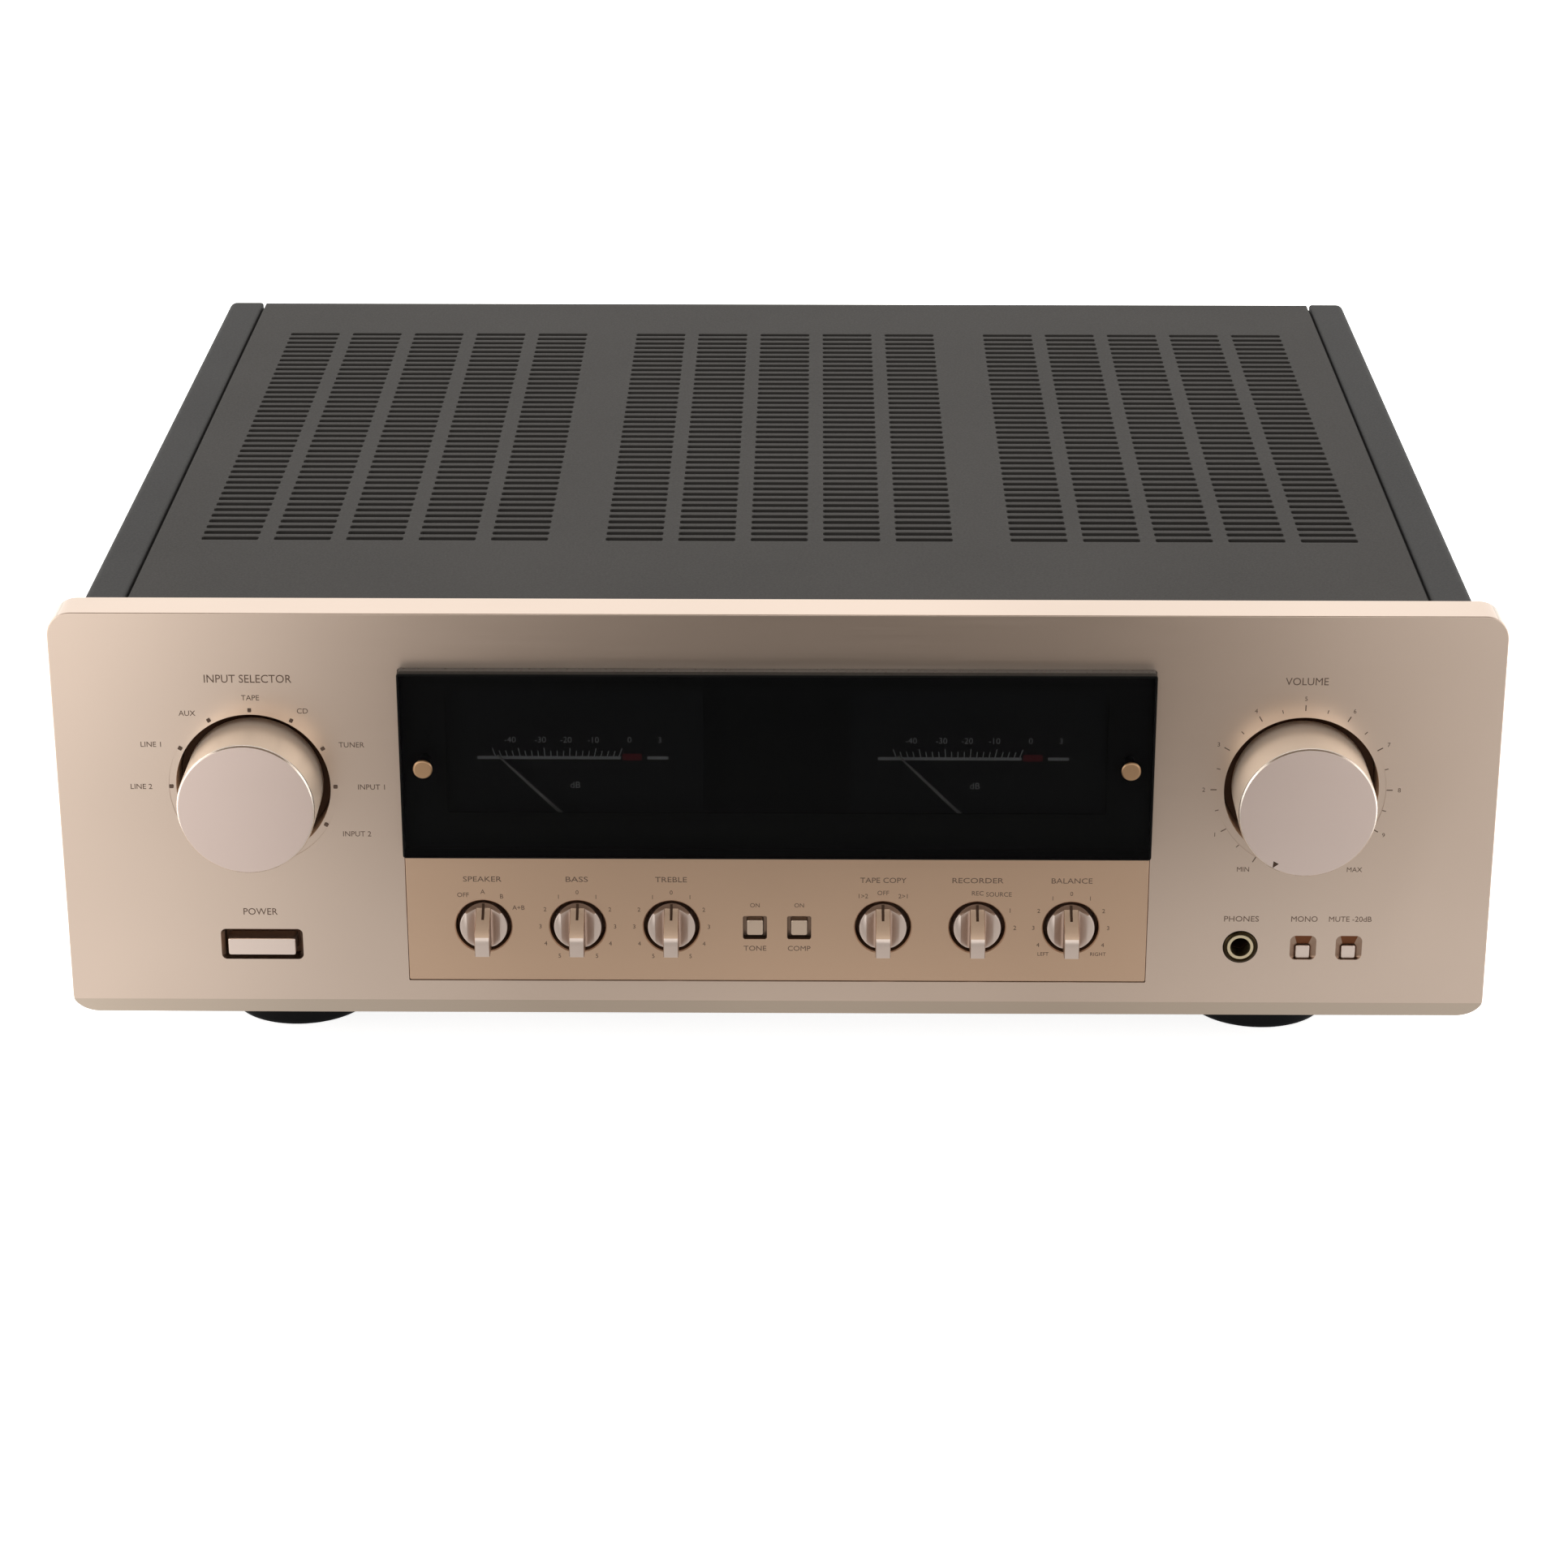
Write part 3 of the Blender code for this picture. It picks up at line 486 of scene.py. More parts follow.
class Print:
    """Collects letters and ticks that are printed on one plane facing -Y (or +Y if behind)."""

    def __init__(self, y, behind=False):
        self.bm = bmesh.new()
        self.y = y + (LETTER_LIFT if behind else -LETTER_LIFT)
        self.turn = Matrix.Rotation(math.pi, 4, "Z") if behind else Matrix.Identity(4)

    def text(self, text, x, z, height, width=None):
        mesh = text_mesh(text, height, width)
        mesh.transform(Matrix.Translation((x, self.y, z)) @ self.turn)
        self.bm.from_mesh(mesh)
        bpy.data.meshes.remove(mesh)

    def bar(self, x, z, width, height, angle=0.0, sunk=0.0):
        """A rectangle turned clockwise by angle. Its back may be sunk below the plane, to meet a slope."""
        outline = turned_outline(rounded_rectangle(width, height, min(width, height) * 0.2, 2), angle)
        half = LETTER_LIFT / 2
        add_solid(self.bm, [on_y(outline, self.y - half, x, z), on_y(outline, self.y + half + sunk, x, z)])

    def ray(self, centre, inner, outer, width, degrees, sunk=0.0):
        """A radial tick about the centre, at an angle clockwise from straight up."""
        angle = math.radians(degrees)
        reach = (inner + outer) / 2
        x, z = centre.x + reach * math.sin(angle), centre.z + reach * math.cos(angle)
        self.bar(x, z, width, outer - inner, angle, sunk)

    def around(self, text, centre, radius, degrees, height):
        angle = math.radians(degrees)
        self.beside(text, centre, radius * math.sin(angle), radius * math.cos(angle), height)

    def beside(self, text, place, right, up, height, width=None):
        """Text at a distance from a place, in millimetres."""
        self.text(text, place.x + right * MM, place.z + up * MM, height, width)

    def finish(self, name, material, body):
        bmesh.ops.remove_doubles(self.bm, verts=self.bm.verts, dist=0.001 * MM)
        return piece(name, mesh_of(name, self.bm), material, body, weighted=False)


# ---- front panel ----

def front_panel():
    """Thick plate with eased edges, a lower chamfer and the openings for everything that comes through."""
    width = PANEL_HIGH.x - PANEL_LOW.x
    height = PANEL_HIGH.z - PANEL_LOW.z
    thick = PANEL_HIGH.y - PANEL_LOW.y
    corner, ease = 8.0 * MM, 0.4 * MM
    front = eased(ease)
    rings = front + [(inset, thick - depth) for inset, depth in reversed(eased(ease, 2))]
    sections = [on_y(rounded_rectangle(width - 2 * inset, height - 2 * inset, corner - inset, 12),
                     FACE_Y + depth, 0, PANEL_MIDDLE_Z) for inset, depth in rings]
    # The plate's materials: 0 face, 1 upper and lower side, a lighter metal as painted highlight, 2 left and
    # right side, a darker metal as painted shade
    body = mesh_from("front_panel_metal", [sections], lambda band: 1 if band >= len(front) - 2 else 0)
    # Left and right sides take the darker chamfer metal: painted shade.
    for face in body.polygons:
        if face.material_index == 1 and abs(face.normal.x) > 0.45:
            face.material_index = 2

    # The cutter's materials: 0 panel, 1 wall of a round hole, 2 wall of a slot, dark brown as painted shade, 3
    # bevel, brown as painted shade, 4 scoop, painted shade on the bevel's upper part, 5 chamfer, a darker
    # metal as painted shade
    bm = bmesh.new()
    over = 2 * MM
    back = thick + over
    for node in ("input_selector_knob", "volume_knob"):
        hole = ((RECESS_MOUTH, -over), (RECESS_MOUTH, RECESS_DEPTH), (RECESS_RADIUS, RECESS_DEPTH),
                (RECESS_RADIUS, back))
        add_solid(bm, turned_y(hole, 160, middle(node), FACE_Y), lambda band: (3, 0, 1)[band % 3])
    for node, mouth, hole in (("power_button", (27.5, 11.1, 1.8, -0.15), (25.2, 10.2, 1.0, -0.3)),
                              ("mono_button", (8.8, 8.8, 2.0, -0.15), (5.2, 5.2, 0.9, -1.9)),
                              ("attenuator_button", (8.8, 8.8, 2.0, -0.15), (5.2, 5.2, 0.9, -1.9))):
        centre = middle(node)
        slot = scooped_slot(mouth, hole, back, centre.x, centre.z)
        add_solid(bm, slot, lambda band: 2 if band == 1 else 3)
        if node == "power_button":
            continue
        # The upper part of these mouths, above the button, is painted shade.
        for face in bm.faces:
            place = face.calc_center_median()
            if face.material_index == 3 and abs(place.x - centre.x) < 2.7 * MM and place.z > centre.z:
                face.material_index = 4
    add_solid(bm, flared_hole(5.8 * MM, 0.1 * MM, back, middle("headphone_jack"), 64), lambda band: 0)
    low, high = SUBPANEL_LOW.z - SEAM, WINDOW_HIGH.z + SEAM
    opening = flared_slot(SUBPANEL_HIGH.x - SUBPANEL_LOW.x + 2 * SEAM, high - low, 0.2 * MM, 0.12 * MM, back,
                          0, (low + high) / 2)
    add_solid(bm, opening, lambda band: 0)
    # The lower chamfer takes the darker chamfer metal: painted shade.
    rise, run = 6.5 * MM, 4.0 * MM
    slope = rise / run
    wedge = [(-over, rise + slope * over), (-over, -slope * over), (run + over, -slope * over)]
    add_solid(bm, [[(x, FACE_Y + u, PANEL_LOW.z + v) for u, v in wedge]
                   for x in (-width / 2 - over, width / 2 + over)], lambda band: 5)
    mesh, keys = carved(body, mesh_of("panel_cutter", bm), ["panel", "panel_edge_highlight", "chamfer"],
                        ["panel", "hole_wall", "recess", "bevel", "scoop", "chamfer"])
    piece("front_panel_metal", mesh, keys, "chassis", ["front_panel"])


def subpanel():
    width = SUBPANEL_HIGH.x - SUBPANEL_LOW.x
    height = SUBPANEL_HIGH.z - SUBPANEL_LOW.z
    centre_z = (SUBPANEL_HIGH.z + SUBPANEL_LOW.z) / 2
    thick = SUBPANEL_HIGH.y - SUBPANEL_LOW.y
    sections = [on_y(rounded_rectangle(width - 2 * inset, height - 2 * inset, 0.6 * MM - inset, 3),
                     SUBPANEL_LOW.y + depth, 0, centre_z)
                for inset, depth in eased(0.3 * MM, 3) + [(0.0, thick)]]
    bm = bmesh.new()
    flare, through = 0.35 * MM, thick + 1 * MM
    # Hole walls, slot walls and slot mouths take the dark browns of painted shade; the holes' mouths keep the
    # panel's metal.
    for node in SMALL_KNOBS:
        hole = flared_hole(SMALL_HOLE - flare, flare, through, middle(node), 72, SUBPANEL_LOW.y)
        add_solid(bm, hole, lambda band: 3 if band == 1 else 0)
    for node in ("tone_button", "compensator_button"):
        centre = middle(node)
        slot = flared_slot(7.9 * MM, 8.3 * MM, 0.6 * MM, 0.12 * MM, through,
                           centre.x, centre.z, SUBPANEL_LOW.y)
        add_solid(bm, slot, lambda band: 1 if band == 1 else 2)
    mesh, keys = carved(mesh_from("control_subpanel_metal", [sections]), mesh_of("subpanel_cutter", bm),
                        ["subpanel"], ["subpanel", "recess", "bevel", "well"])
    piece("control_subpanel_metal", mesh, keys, "chassis", ["control_subpanel"])


def washer(inner, outer, near, far):
    """Profile of a flat ring."""
    return [(inner, near), (outer, near), (outer, far), (inner, far)]


def recess_linings():
    """Brown rings behind the knobs' holes, so that no light comes through from inside. Their dark brown is
    painted shade.
    """
    for node in SMALL_KNOBS:
        ring = washer(2.6 * MM, SMALL_HOLE + 0.6 * MM, 0.4 * MM, 0.9 * MM)
        turned_piece(node + "_washer", ring, 48, middle(node), SUBPANEL_HIGH.y, "well")
    for node in ("input_selector_knob", "volume_knob"):
        ring = washer(4.4 * MM, RECESS_RADIUS - 0.3 * MM, 12.0 * MM, 13.0 * MM)
        turned_piece(node + "_washer", ring, 96, middle(node), FACE_Y, "well")


# ---- knobs and buttons ----

SMALL_KNOBS = ("speaker_knob", "bass_knob", "treble_knob", "tape_copy_knob", "recorder_knob", "balance_knob")


def body_of(node):
    return next(body for body, nodes in frame["record"]["behaviour"]["bodies"].items() if node in nodes)


def large_knob(node):
    """Turned knob: satin face, a bright rounded edge and a satin side."""
    low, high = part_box(node)
    radius = (high.x - low.x) / 2
    profile = [(radius - 0.95 * MM, 0.0), (radius - 0.6 * MM, 0.02 * MM), (radius - 0.2 * MM, 0.42 * MM),
               (radius - 0.04 * MM, 0.75 * MM), (radius, 1.0 * MM), (radius, 25.0 * MM),
               (radius - 0.5 * MM, 25.6 * MM), (3.0 * MM, 25.6 * MM), (3.0 * MM, high.y - low.y)]
    sections = turned_y(profile, 160, middle(node), low.y)
    mesh = mesh_from(node + "_metal", [sections], lambda band: 0 if band < 1 else 1 if band < 3 else 2)
    front = "volume_face" if node == "volume_knob" else "knob_face"
    piece(node + "_metal", mesh, [front, "knob_edge", "knob_side"], body_of(node), [node])


def volume_pointer():
    """Small dark pointer near the edge of the volume knob's face. It points to the lowest mark."""
    low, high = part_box("volume_knob")
    centre = middle("volume_knob")
    radius = (high.x - low.x) / 2
    angle = math.radians(-151)
    reach = radius - 1.6 * MM
    x = centre.x + reach * math.sin(angle)
    z = centre.z + reach * math.cos(angle)
    outline = turned_outline([(0, 1.1 * MM), (-1.0 * MM, -1.1 * MM), (1.0 * MM, -1.1 * MM)], angle)
    sections = [on_y(outline, low.y + depth, x, z) for depth in (-0.04 * MM, 0.6 * MM)]
    mesh = mesh_from("volume_pointer", [sections])
    piece("volume_pointer", mesh, "recess", "volume", weighted=False)


def small_knob(node):
    """A disc with its upper part sloped back, a groove on each side of a grip bar, and the bar."""
    low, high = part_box(node)
    centre = middle(node)
    radius = (high.x - low.x) / 2
    half = 2.5 * MM                       # width of the grip bar, halved
    proud = 0.55 * MM                     # of the disc, in front of the panel
    shoulder, lean = 0.60 * radius, 1.63  # where the upper slope starts, and its rise for each unit of depth

    def point(x, depth, height):
        return (centre.x + x, FACE_Y + depth, centre.z + height)

    disc = [(radius - 0.5 * MM, -proud), (radius - 0.15 * MM, 0.15 * MM - proud), (radius, 0.5 * MM - proud),
            (radius, 5.4 * MM), (2.0 * MM, 5.4 * MM), (2.0 * MM, high.y - FACE_Y)]
    mesh = mesh_from(node + "_disc", [turned_y(disc, 96, centre, FACE_Y)])
    # The upper slope cut into the disc takes the slope colour: painted shade.
    front, back = -2.0 * MM, 4.0 * MM
    slope = [(front, shoulder + (front + proud) * lean), (front, radius * 2), (back, radius * 2),
             (back, shoulder + (back + proud) * lean)]
    bm = bmesh.new()
    add_solid(bm, [[point(x, depth, height) for depth, height in slope] for x in (-radius * 2, radius * 2)],
              lambda band: 0)
    for side in (-1, 1):
        groove = [(half, front), (half, 0.9 * MM - proud), (5.4 * MM, -proud), (5.4 * MM, front)]
        add_solid(bm, [[point(side * x, depth, height) for x, depth in groove]
                       for height in (-radius * 2, radius * 2)], lambda band: 1)
    mesh, keys = carved(mesh, mesh_of(node + "_cutter", bm), ["button"], ["slope", "button"], True)

    reach = radius - 0.35 * MM
    grip = low.y - FACE_Y
    side_view = [(1.5 * MM, 0.95), (0.0, 0.80), (-0.9 * MM, 0.66), (0.5 * grip, 0.40), (0.74 * grip, 0.22),
                 (0.87 * grip, 0.08), (0.95 * grip, -0.08), (0.99 * grip, -0.26), (grip, -0.45),
                 (grip, -0.94), (0.97 * grip, -0.98), (0.55 * grip, -1.0), (1.5 * MM, -1.0)]
    soft = 0.2 * MM                       # of the bar's edges
    slices = [[point(x, depth + (ease if depth < 0 else 0.0), height * (reach - ease))
               for depth, height in side_view]
              for x, ease in ((-half, soft), (soft - half, 0.0), (half - soft, 0.0), (half, soft))]
    # The bar's eased edges and ends take the slope colour and its upward-facing top the grip colour, both
    # painted shade.
    bar = mesh_from(node + "_bar", [slices], lambda band: 0 if band == 1 else 1)
    for face in bar.polygons:
        if face.material_index == 0 and face.normal.z > 0.3:
            face.material_index = 2
    joined, keys = united(mesh, keys, bar, ["button", "slope", "grip"])
    piece(node + "_metal", joined, keys, body_of(node), [node], angle=28)

    top = (0.97 * radius - shoulder) / lean - proud
    wide, deep = 0.45 * MM, 0.3 * MM
    across = ((wide, 0), (wide, deep), (-wide, deep), (-wide, 0))
    line = [[point(x, depth - 0.06 * MM + sunk, height + 0.03 * MM) for x, sunk in across]
            for depth, height in ((top, 0.97 * radius), (0.0, 0.80 * reach), (-0.9 * MM, 0.66 * reach),
                                  (0.38 * grip, 0.47 * reach))]
    mesh = mesh_from(node + "_pointer", [line])
    piece(node + "_pointer", mesh, "recess", body_of(node), weighted=False)


# Visible width and height of each button, how far its middle is below its hole's middle, the width, height
# and depth of the plate behind it, all in millimetres, and the materials of the button and the plate (its dark
# brown is painted shade)
BUTTONS = {
    "power_button": (22.5, 6.0, 0.7, 29.0, 13.0, 5.5, "button", "well"),
    "tone_button": (5.5, 5.6, 0.1, 10.4, 10.8, 3.0, "key", "bevel"),
    "compensator_button": (5.5, 5.6, 0.1, 10.4, 10.8, 3.0, "key", "bevel"),
    "mono_button": (4.8, 4.8, 2.05, 10.6, 10.8, 3.0, "button", "bevel"),
    "attenuator_button": (4.8, 4.8, 2.05, 10.6, 10.8, 3.0, "button", "bevel"),
}
CAP_DEPTH = 6.0 * MM             # of a button's face, from front to back
STEM_DROP = 1.1                  # most that a stem may be below its hole's middle, in millimetres


def button(node):
    """A cap with eased edges and a square stem."""
    width, height, drop, *_, key, _ = BUTTONS[node]
    low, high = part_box(node)
    centre = middle(node)
    lift = POWER_LIFT if node == "power_button" else 0.0
    steps = [(width * MM - 2 * inset, height * MM - 2 * inset, depth - lift)
             for inset, depth in eased(0.4 * MM, 4)]
    steps.append((width * MM, height * MM, CAP_DEPTH))
    sections = slabs_y(steps, 0.7 * MM, centre.x, low.y, centre.z - drop * MM, 5)
    stem = rounded_rectangle(2.6 * MM, 2.6 * MM, 0.7 * MM, 5)
    stem_z = centre.z - min(drop, STEM_DROP) * MM
    sections += [on_y(stem, y, centre.x, stem_z) for y in (low.y + CAP_DEPTH, high.y)]
    piece(node + "_cap", mesh_from(node + "_cap", [sections]), key, body_of(node), [node])


def button_well(node):
    """Plate behind a button's opening, with a hole that the button's cap just passes. Its dark brown is
    painted shade.
    """
    face_width, face_height, drop, width, height, depth, _, key = BUTTONS[node]
    centre = middle(node)
    front = FACE_Y + depth * MM
    back = front + 0.6 * MM
    outer = rounded_rectangle(width * MM, height * MM, 0.8 * MM)
    inner = rounded_rectangle((face_width + 0.2) * MM, (face_height + 0.2) * MM, 0.6 * MM)
    lower = centre.z - drop * MM
    sections = [on_y(outline, y, centre.x, z) for outline, y, z in (
        (outer, front, centre.z), (outer, back, centre.z), (inner, back, lower), (inner, front, lower))]
    mesh = mesh_from(node + "_well", [sections], closed=True)
    piece(node + "_well", mesh, key, "chassis")


def headphone_socket():
    """Dark nut, pale ferrule and the tube behind them."""
    low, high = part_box("headphone_jack")
    centre = middle("headphone_jack")
    radius = (high.x - low.x) / 2 - 0.1 * MM
    bore = 3.2 * MM
    nut = [(4.6 * MM, 0.3 * MM), (4.6 * MM, -0.25 * MM), (4.8 * MM, -0.6 * MM),
           (radius - 0.4 * MM, -0.6 * MM), (radius, -0.2 * MM), (radius, 13.0 * MM), (4.6 * MM, 13.0 * MM)]
    turned_piece("headphone_socket_nut", nut, 72, centre, FACE_Y, "nut", ["headphone_jack"])
    ferrule = [(bore, 6.0 * MM), (bore, 0.1 * MM), (bore + 0.2 * MM, -0.3 * MM), (4.35 * MM, -0.3 * MM),
               (4.55 * MM, -0.1 * MM), (4.55 * MM, 6.0 * MM)]
    turned_piece("headphone_socket_ferrule", ferrule, 64, centre, FACE_Y, "ferrule")
    tube = [(bore, 32.0 * MM), (bore, 6.3 * MM), (5.4 * MM, 6.3 * MM), (5.4 * MM, 36.0 * MM)]
    mesh = mesh_from("headphone_socket_body", [turned_y(tube, 48, centre, FACE_Y)])
    piece("headphone_socket_body", mesh, "recess", "chassis")


# ---- display window and meters ----

def window():
    """Black glass sheet with a lit upper edge, the mask behind it, the backing plate and the two studs."""
    width = WINDOW_HIGH.x - WINDOW_LOW.x
    height = WINDOW_HIGH.z - WINDOW_LOW.z
    centre_z = (WINDOW_HIGH.z + WINDOW_LOW.z) / 2
    front = WINDOW_LOW.y - WINDOW_LIFT
    proud = FACE_Y - SEAM - front
    steps = [(width - 2 * inset, height - 2 * inset, depth) for inset, depth in eased(0.7 * MM)]
    steps += [(width, height, share * proud) for share in (0.5, 1.0)]
    sections = slabs_y(steps, 1.0 * MM, 0, front, centre_z + WINDOW_RISE)
    sections += [on_y(rounded_rectangle(width, height - 2 * WINDOW_RISE, 1.0 * MM), y, 0, centre_z)
                 for y in (FACE_Y - SEAM, WINDOW_HIGH.y)]
    # Its materials: 0 front and back, 1 rear half of the upper edge, grey as painted highlight, 2 other sides,
    # 3 front half, a fainter painted highlight
    last = len(sections) - 1
    mesh = mesh_from("window_sheet", [sections], lambda band: 0 if band in (-1, last) else 1)
    for face in mesh.polygons:
        if face.material_index == 1 and face.normal.z < 0.8:
            face.material_index = 2
        elif face.material_index == 1 and face.center.y < front + 0.5 * proud:
            face.material_index = 3
    studs = {node: middle(node) + Vector((0, 0, WINDOW_RISE))
             for node in ("window_stud_left", "window_stud_right")}
    bore = ((1.8 * MM, -4 * MM), (1.8 * MM, 9 * MM))
    holes = mesh_from("window_holes", [turned_y(bore, 32, centre, WINDOW_LOW.y) for centre in studs.values()])
    mesh, keys = carved(mesh, holes, ["glass", "glass_edge_highlight", "glass_side", "glass_lip_highlight"], ["glass_side"])
    piece("window_sheet", mesh, keys, "chassis", ["display_window"])

    y = WINDOW_HIGH.y + 0.3 * MM
    back = y + 0.5 * MM
    outer, inner = (width, height), (MASK_WIDTH, MASK_HEIGHT)
    mask = [on_y(rounded_rectangle(*size, 0.5 * MM), depth, 0, z) for size, depth, z in (
        (outer, y, centre_z), (outer, back, centre_z), (inner, back, MASK_Z), (inner, y, MASK_Z))]
    mesh = mesh_from("window_mask", [mask], closed=True)
    piece("window_mask", mesh, "mask", "chassis")
    y = DIAL_Y + 1.6 * MM
    plate = [on_y(rounded_rectangle(width, height, 0.5 * MM), yy, 0, centre_z) for yy in (y, y + 0.8 * MM)]
    mesh = mesh_from("window_backing", [plate])
    piece("window_backing", mesh, "mask", "chassis")
    for node, centre in studs.items():
        low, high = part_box(node)
        radius = (high.x - low.x) / 2
        profile = [(radius - 0.7 * MM, 0.0), (radius - 0.25 * MM, 0.12 * MM), (radius, 0.45 * MM),
                   (radius, 0.9 * MM), (1.4 * MM, 0.9 * MM), (1.4 * MM, high.y - low.y + WINDOW_LIFT)]
        mesh = mesh_from(node + "_head", [turned_y(profile, 64, centre, low.y - WINDOW_LIFT)])
        piece(node + "_head", mesh, "stud", "chassis", [node])


SCALE_Z = PANEL_LOW.z + 91.3 * MM    # line of the meters' scales
SCALE_TICKS = 21
# Numbers on the scale, and how far right of the scale's middle they stand, in millimetres
DIAL_MARKS = (("-40", -25.0), ("-30", -15.0), ("-20", -6.5), ("-10", 2.5), ("0", 14.5), ("3", 24.5))


def meters():
    for side in ("left", "right"):
        dial = middle("meter_dial_" + side)
        dress("meter_dial_" + side, "dial")
        dress("meter_movement_" + side, "moulded")
        ink = Print(DIAL_Y)
        red = Print(DIAL_Y)
        ink.bar(dial.x - 9.2 * MM, SCALE_Z, 47.5 * MM, 1.1 * MM)
        ink.bar(dial.x + 26.8 * MM, SCALE_Z, 7.0 * MM, 1.1 * MM)
        red.bar(dial.x + 18.3 * MM, SCALE_Z + 0.3 * MM, 6.5 * MM, 2.4 * MM)
        for i in range(SCALE_TICKS):
            x = dial.x + (-27.5 + 42.0 * i / (SCALE_TICKS - 1)) * MM
            tall = 3.0 if i % 4 == 0 else 2.0
            ink.bar(x, SCALE_Z + (0.5 + tall / 2) * MM, 0.35 * MM, tall * MM, math.radians(-20 + 2.0 * i))
        for text, offset in DIAL_MARKS:
            ink.text(text, dial.x + (offset + 3.0) * MM, SCALE_Z + 6.4 * MM, 2.1)
        ink.text("dB", dial.x - 0.7 * MM, SCALE_Z - 9.7 * MM, 2.3)
        ink.finish("meter_scale_" + side, "dial_ink", "chassis")
        red.finish("meter_red_mark_" + side, "dial_red", "chassis")
        needle(side)


def needle(side):
    """Thin tapered needle with a round hub."""
    node = "meter_needle_" + side
    pivot = middle("meter_movement_" + side)
    length, front, back = 37.0 * MM, 6.2 * MM, 7.0 * MM
    hub = [(2.0 * MM, 5.5 * MM), (2.2 * MM, 5.7 * MM), (2.2 * MM, 7.8 * MM), (1.0 * MM, 7.8 * MM),
           (1.0 * MM, 16.0 * MM)]
    lean = Matrix.Rotation(math.radians(-45), 3, "Y")
    sections = []
    for reach, half in ((0.0, 0.55 * MM), (0.75 * length, 0.40 * MM), (length, 0.18 * MM)):
        ring = []
        for u, v in ((half, front), (half, back), (-half, back), (-half, front)):
            point = lean @ Vector((u, 0, reach))
            ring.append((pivot.x + point.x, FACE_Y + v, pivot.z + point.z))
        sections.append(ring)
    round_part = mesh_from(node + "_blade", [turned_y(hub, 32, pivot, FACE_Y)])
    mesh, keys = united(round_part, ["needle"], mesh_from("needle", [sections]), ["needle"])
    piece(node + "_blade", mesh, keys, "needle_" + side, [node])


# ---- lettering on the front ----

# Words on the panel: (node, text, height above the panel's lower edge, letter height, width), in millimetres
PANEL_WORDS = (
    ("input_selector_knob", "INPUT SELECTOR", 122.2, 2.8, 28.6),
    ("volume_knob", "VOLUME", 122.3, 2.6, 14.0),
    ("power_button", "POWER", 38.9, 2.4, 11.4),
    ("headphone_jack", "PHONES", 37.4, 2.0, 11.6),
    ("mono_button", "MONO", 37.4, 2.0, 8.8),
    ("attenuator_button", "MUTE -20dB", 37.4, 1.9, 14.2),
)
# Names of the selector's marks, and how far right and up from its middle they stand, in millimetres
SELECTOR_NAMES = (("LINE 2", -37.0, 0.0), ("LINE 1", -33.0, 15.0), ("AUX", -20.5, 26.0), ("TAPE", 0.5, 31.5),
                  ("CD", 17.4, 26.9), ("TUNER", 33.0, 15.0), ("INPUT 1", 39.0, 0.0), ("INPUT 2", 33.6, -16.8))


def front_lettering():
    ink = Print(FACE_Y)
    selector = middle("input_selector_knob")
    volume = middle("volume_knob")
    for node, text, up, height, width in PANEL_WORDS:
        ink.text(text, middle(node).x, PANEL_LOW.z + up * MM, height, width)
    for degrees in range(-90, 121, 30):
        ink.ray(selector, 26.4 * MM, 27.8 * MM, 1.2 * MM, degrees, RECESS_DEPTH)
    for name, right, up in SELECTOR_NAMES:
        ink.beside(name, selector, right, up, 1.85)
    for degrees in range(-150, 151, 15):
        end, width = (30.0, 0.35) if degrees % 30 == 0 else (29.2, 0.28)
        ink.ray(volume, 27.95 * MM, end * MM, width * MM, degrees)
    for number, degrees in enumerate(range(-120, 121, 30), 1):
        ink.around(str(number), volume, 32.2, degrees, 1.5)
    ink.beside("MIN", volume, -18.0, -28.6, 1.7)
    ink.beside("MAX", volume, 19.0, -28.6, 1.7)
    ink.finish("panel_lettering", "ink", "chassis")


# Name of each small knob, its width in millimetres, and its marks: (degrees, text), or numbers out from 0
SMALL_LABELS = {
    "speaker_knob": ("SPEAKER", 12.8, ((-30, "OFF"), (0, "A"), (30, "B"), (60, "A+B"))),
    "bass_knob": ("BASS", 7.4, "level"),
    "treble_knob": ("TREBLE", 10.6, "level"),
    "tape_copy_knob": ("TAPE COPY", 15.4, ((-30, "1>2"), (0, "OFF"), (30, "2>1"))),
    "recorder_knob": ("RECORDER", 17.0, ((0, "REC"), (30, "SOURCE"), (60, "1"), (90, "2"))),
    "balance_knob": ("BALANCE", 13.6, "balance"),
}


def subpanel_lettering():
    ink = Print(SUBPANEL_LOW.y)
    for node, (name, width, marks) in SMALL_LABELS.items():
        centre = middle(node)
        ink.beside(name, centre, 0, 17.2, 1.9, width)
        if isinstance(marks, str):
            for step, degrees in enumerate(range(-150, 151, 30)):
                level = abs(step - 5)
                if marks == "level" or level < 5:
                    ink.around(str(level), centre, 12.5, degrees, 1.5)
        else:
            for degrees, text in marks:
                radius = 12.6 + 0.6 * (len(text) - 1) * abs(math.sin(math.radians(degrees)))
                ink.around(text, centre, radius, degrees, 1.6)
    balance = middle("balance_knob")
    ink.beside("LEFT", balance, -9.0, -9.6, 1.3)
    ink.beside("RIGHT", balance, 9.4, -9.6, 1.3)
    for node, name in (("tone_button", "TONE"), ("compensator_button", "COMP")):
        ink.beside("ON", middle(node), 0, 8.2, 1.5)
        ink.beside(name, middle(node), 0, -7.6, 1.8, 7.6)
    ink.finish("subpanel_lettering", "ink", "chassis")


# ---- case ----

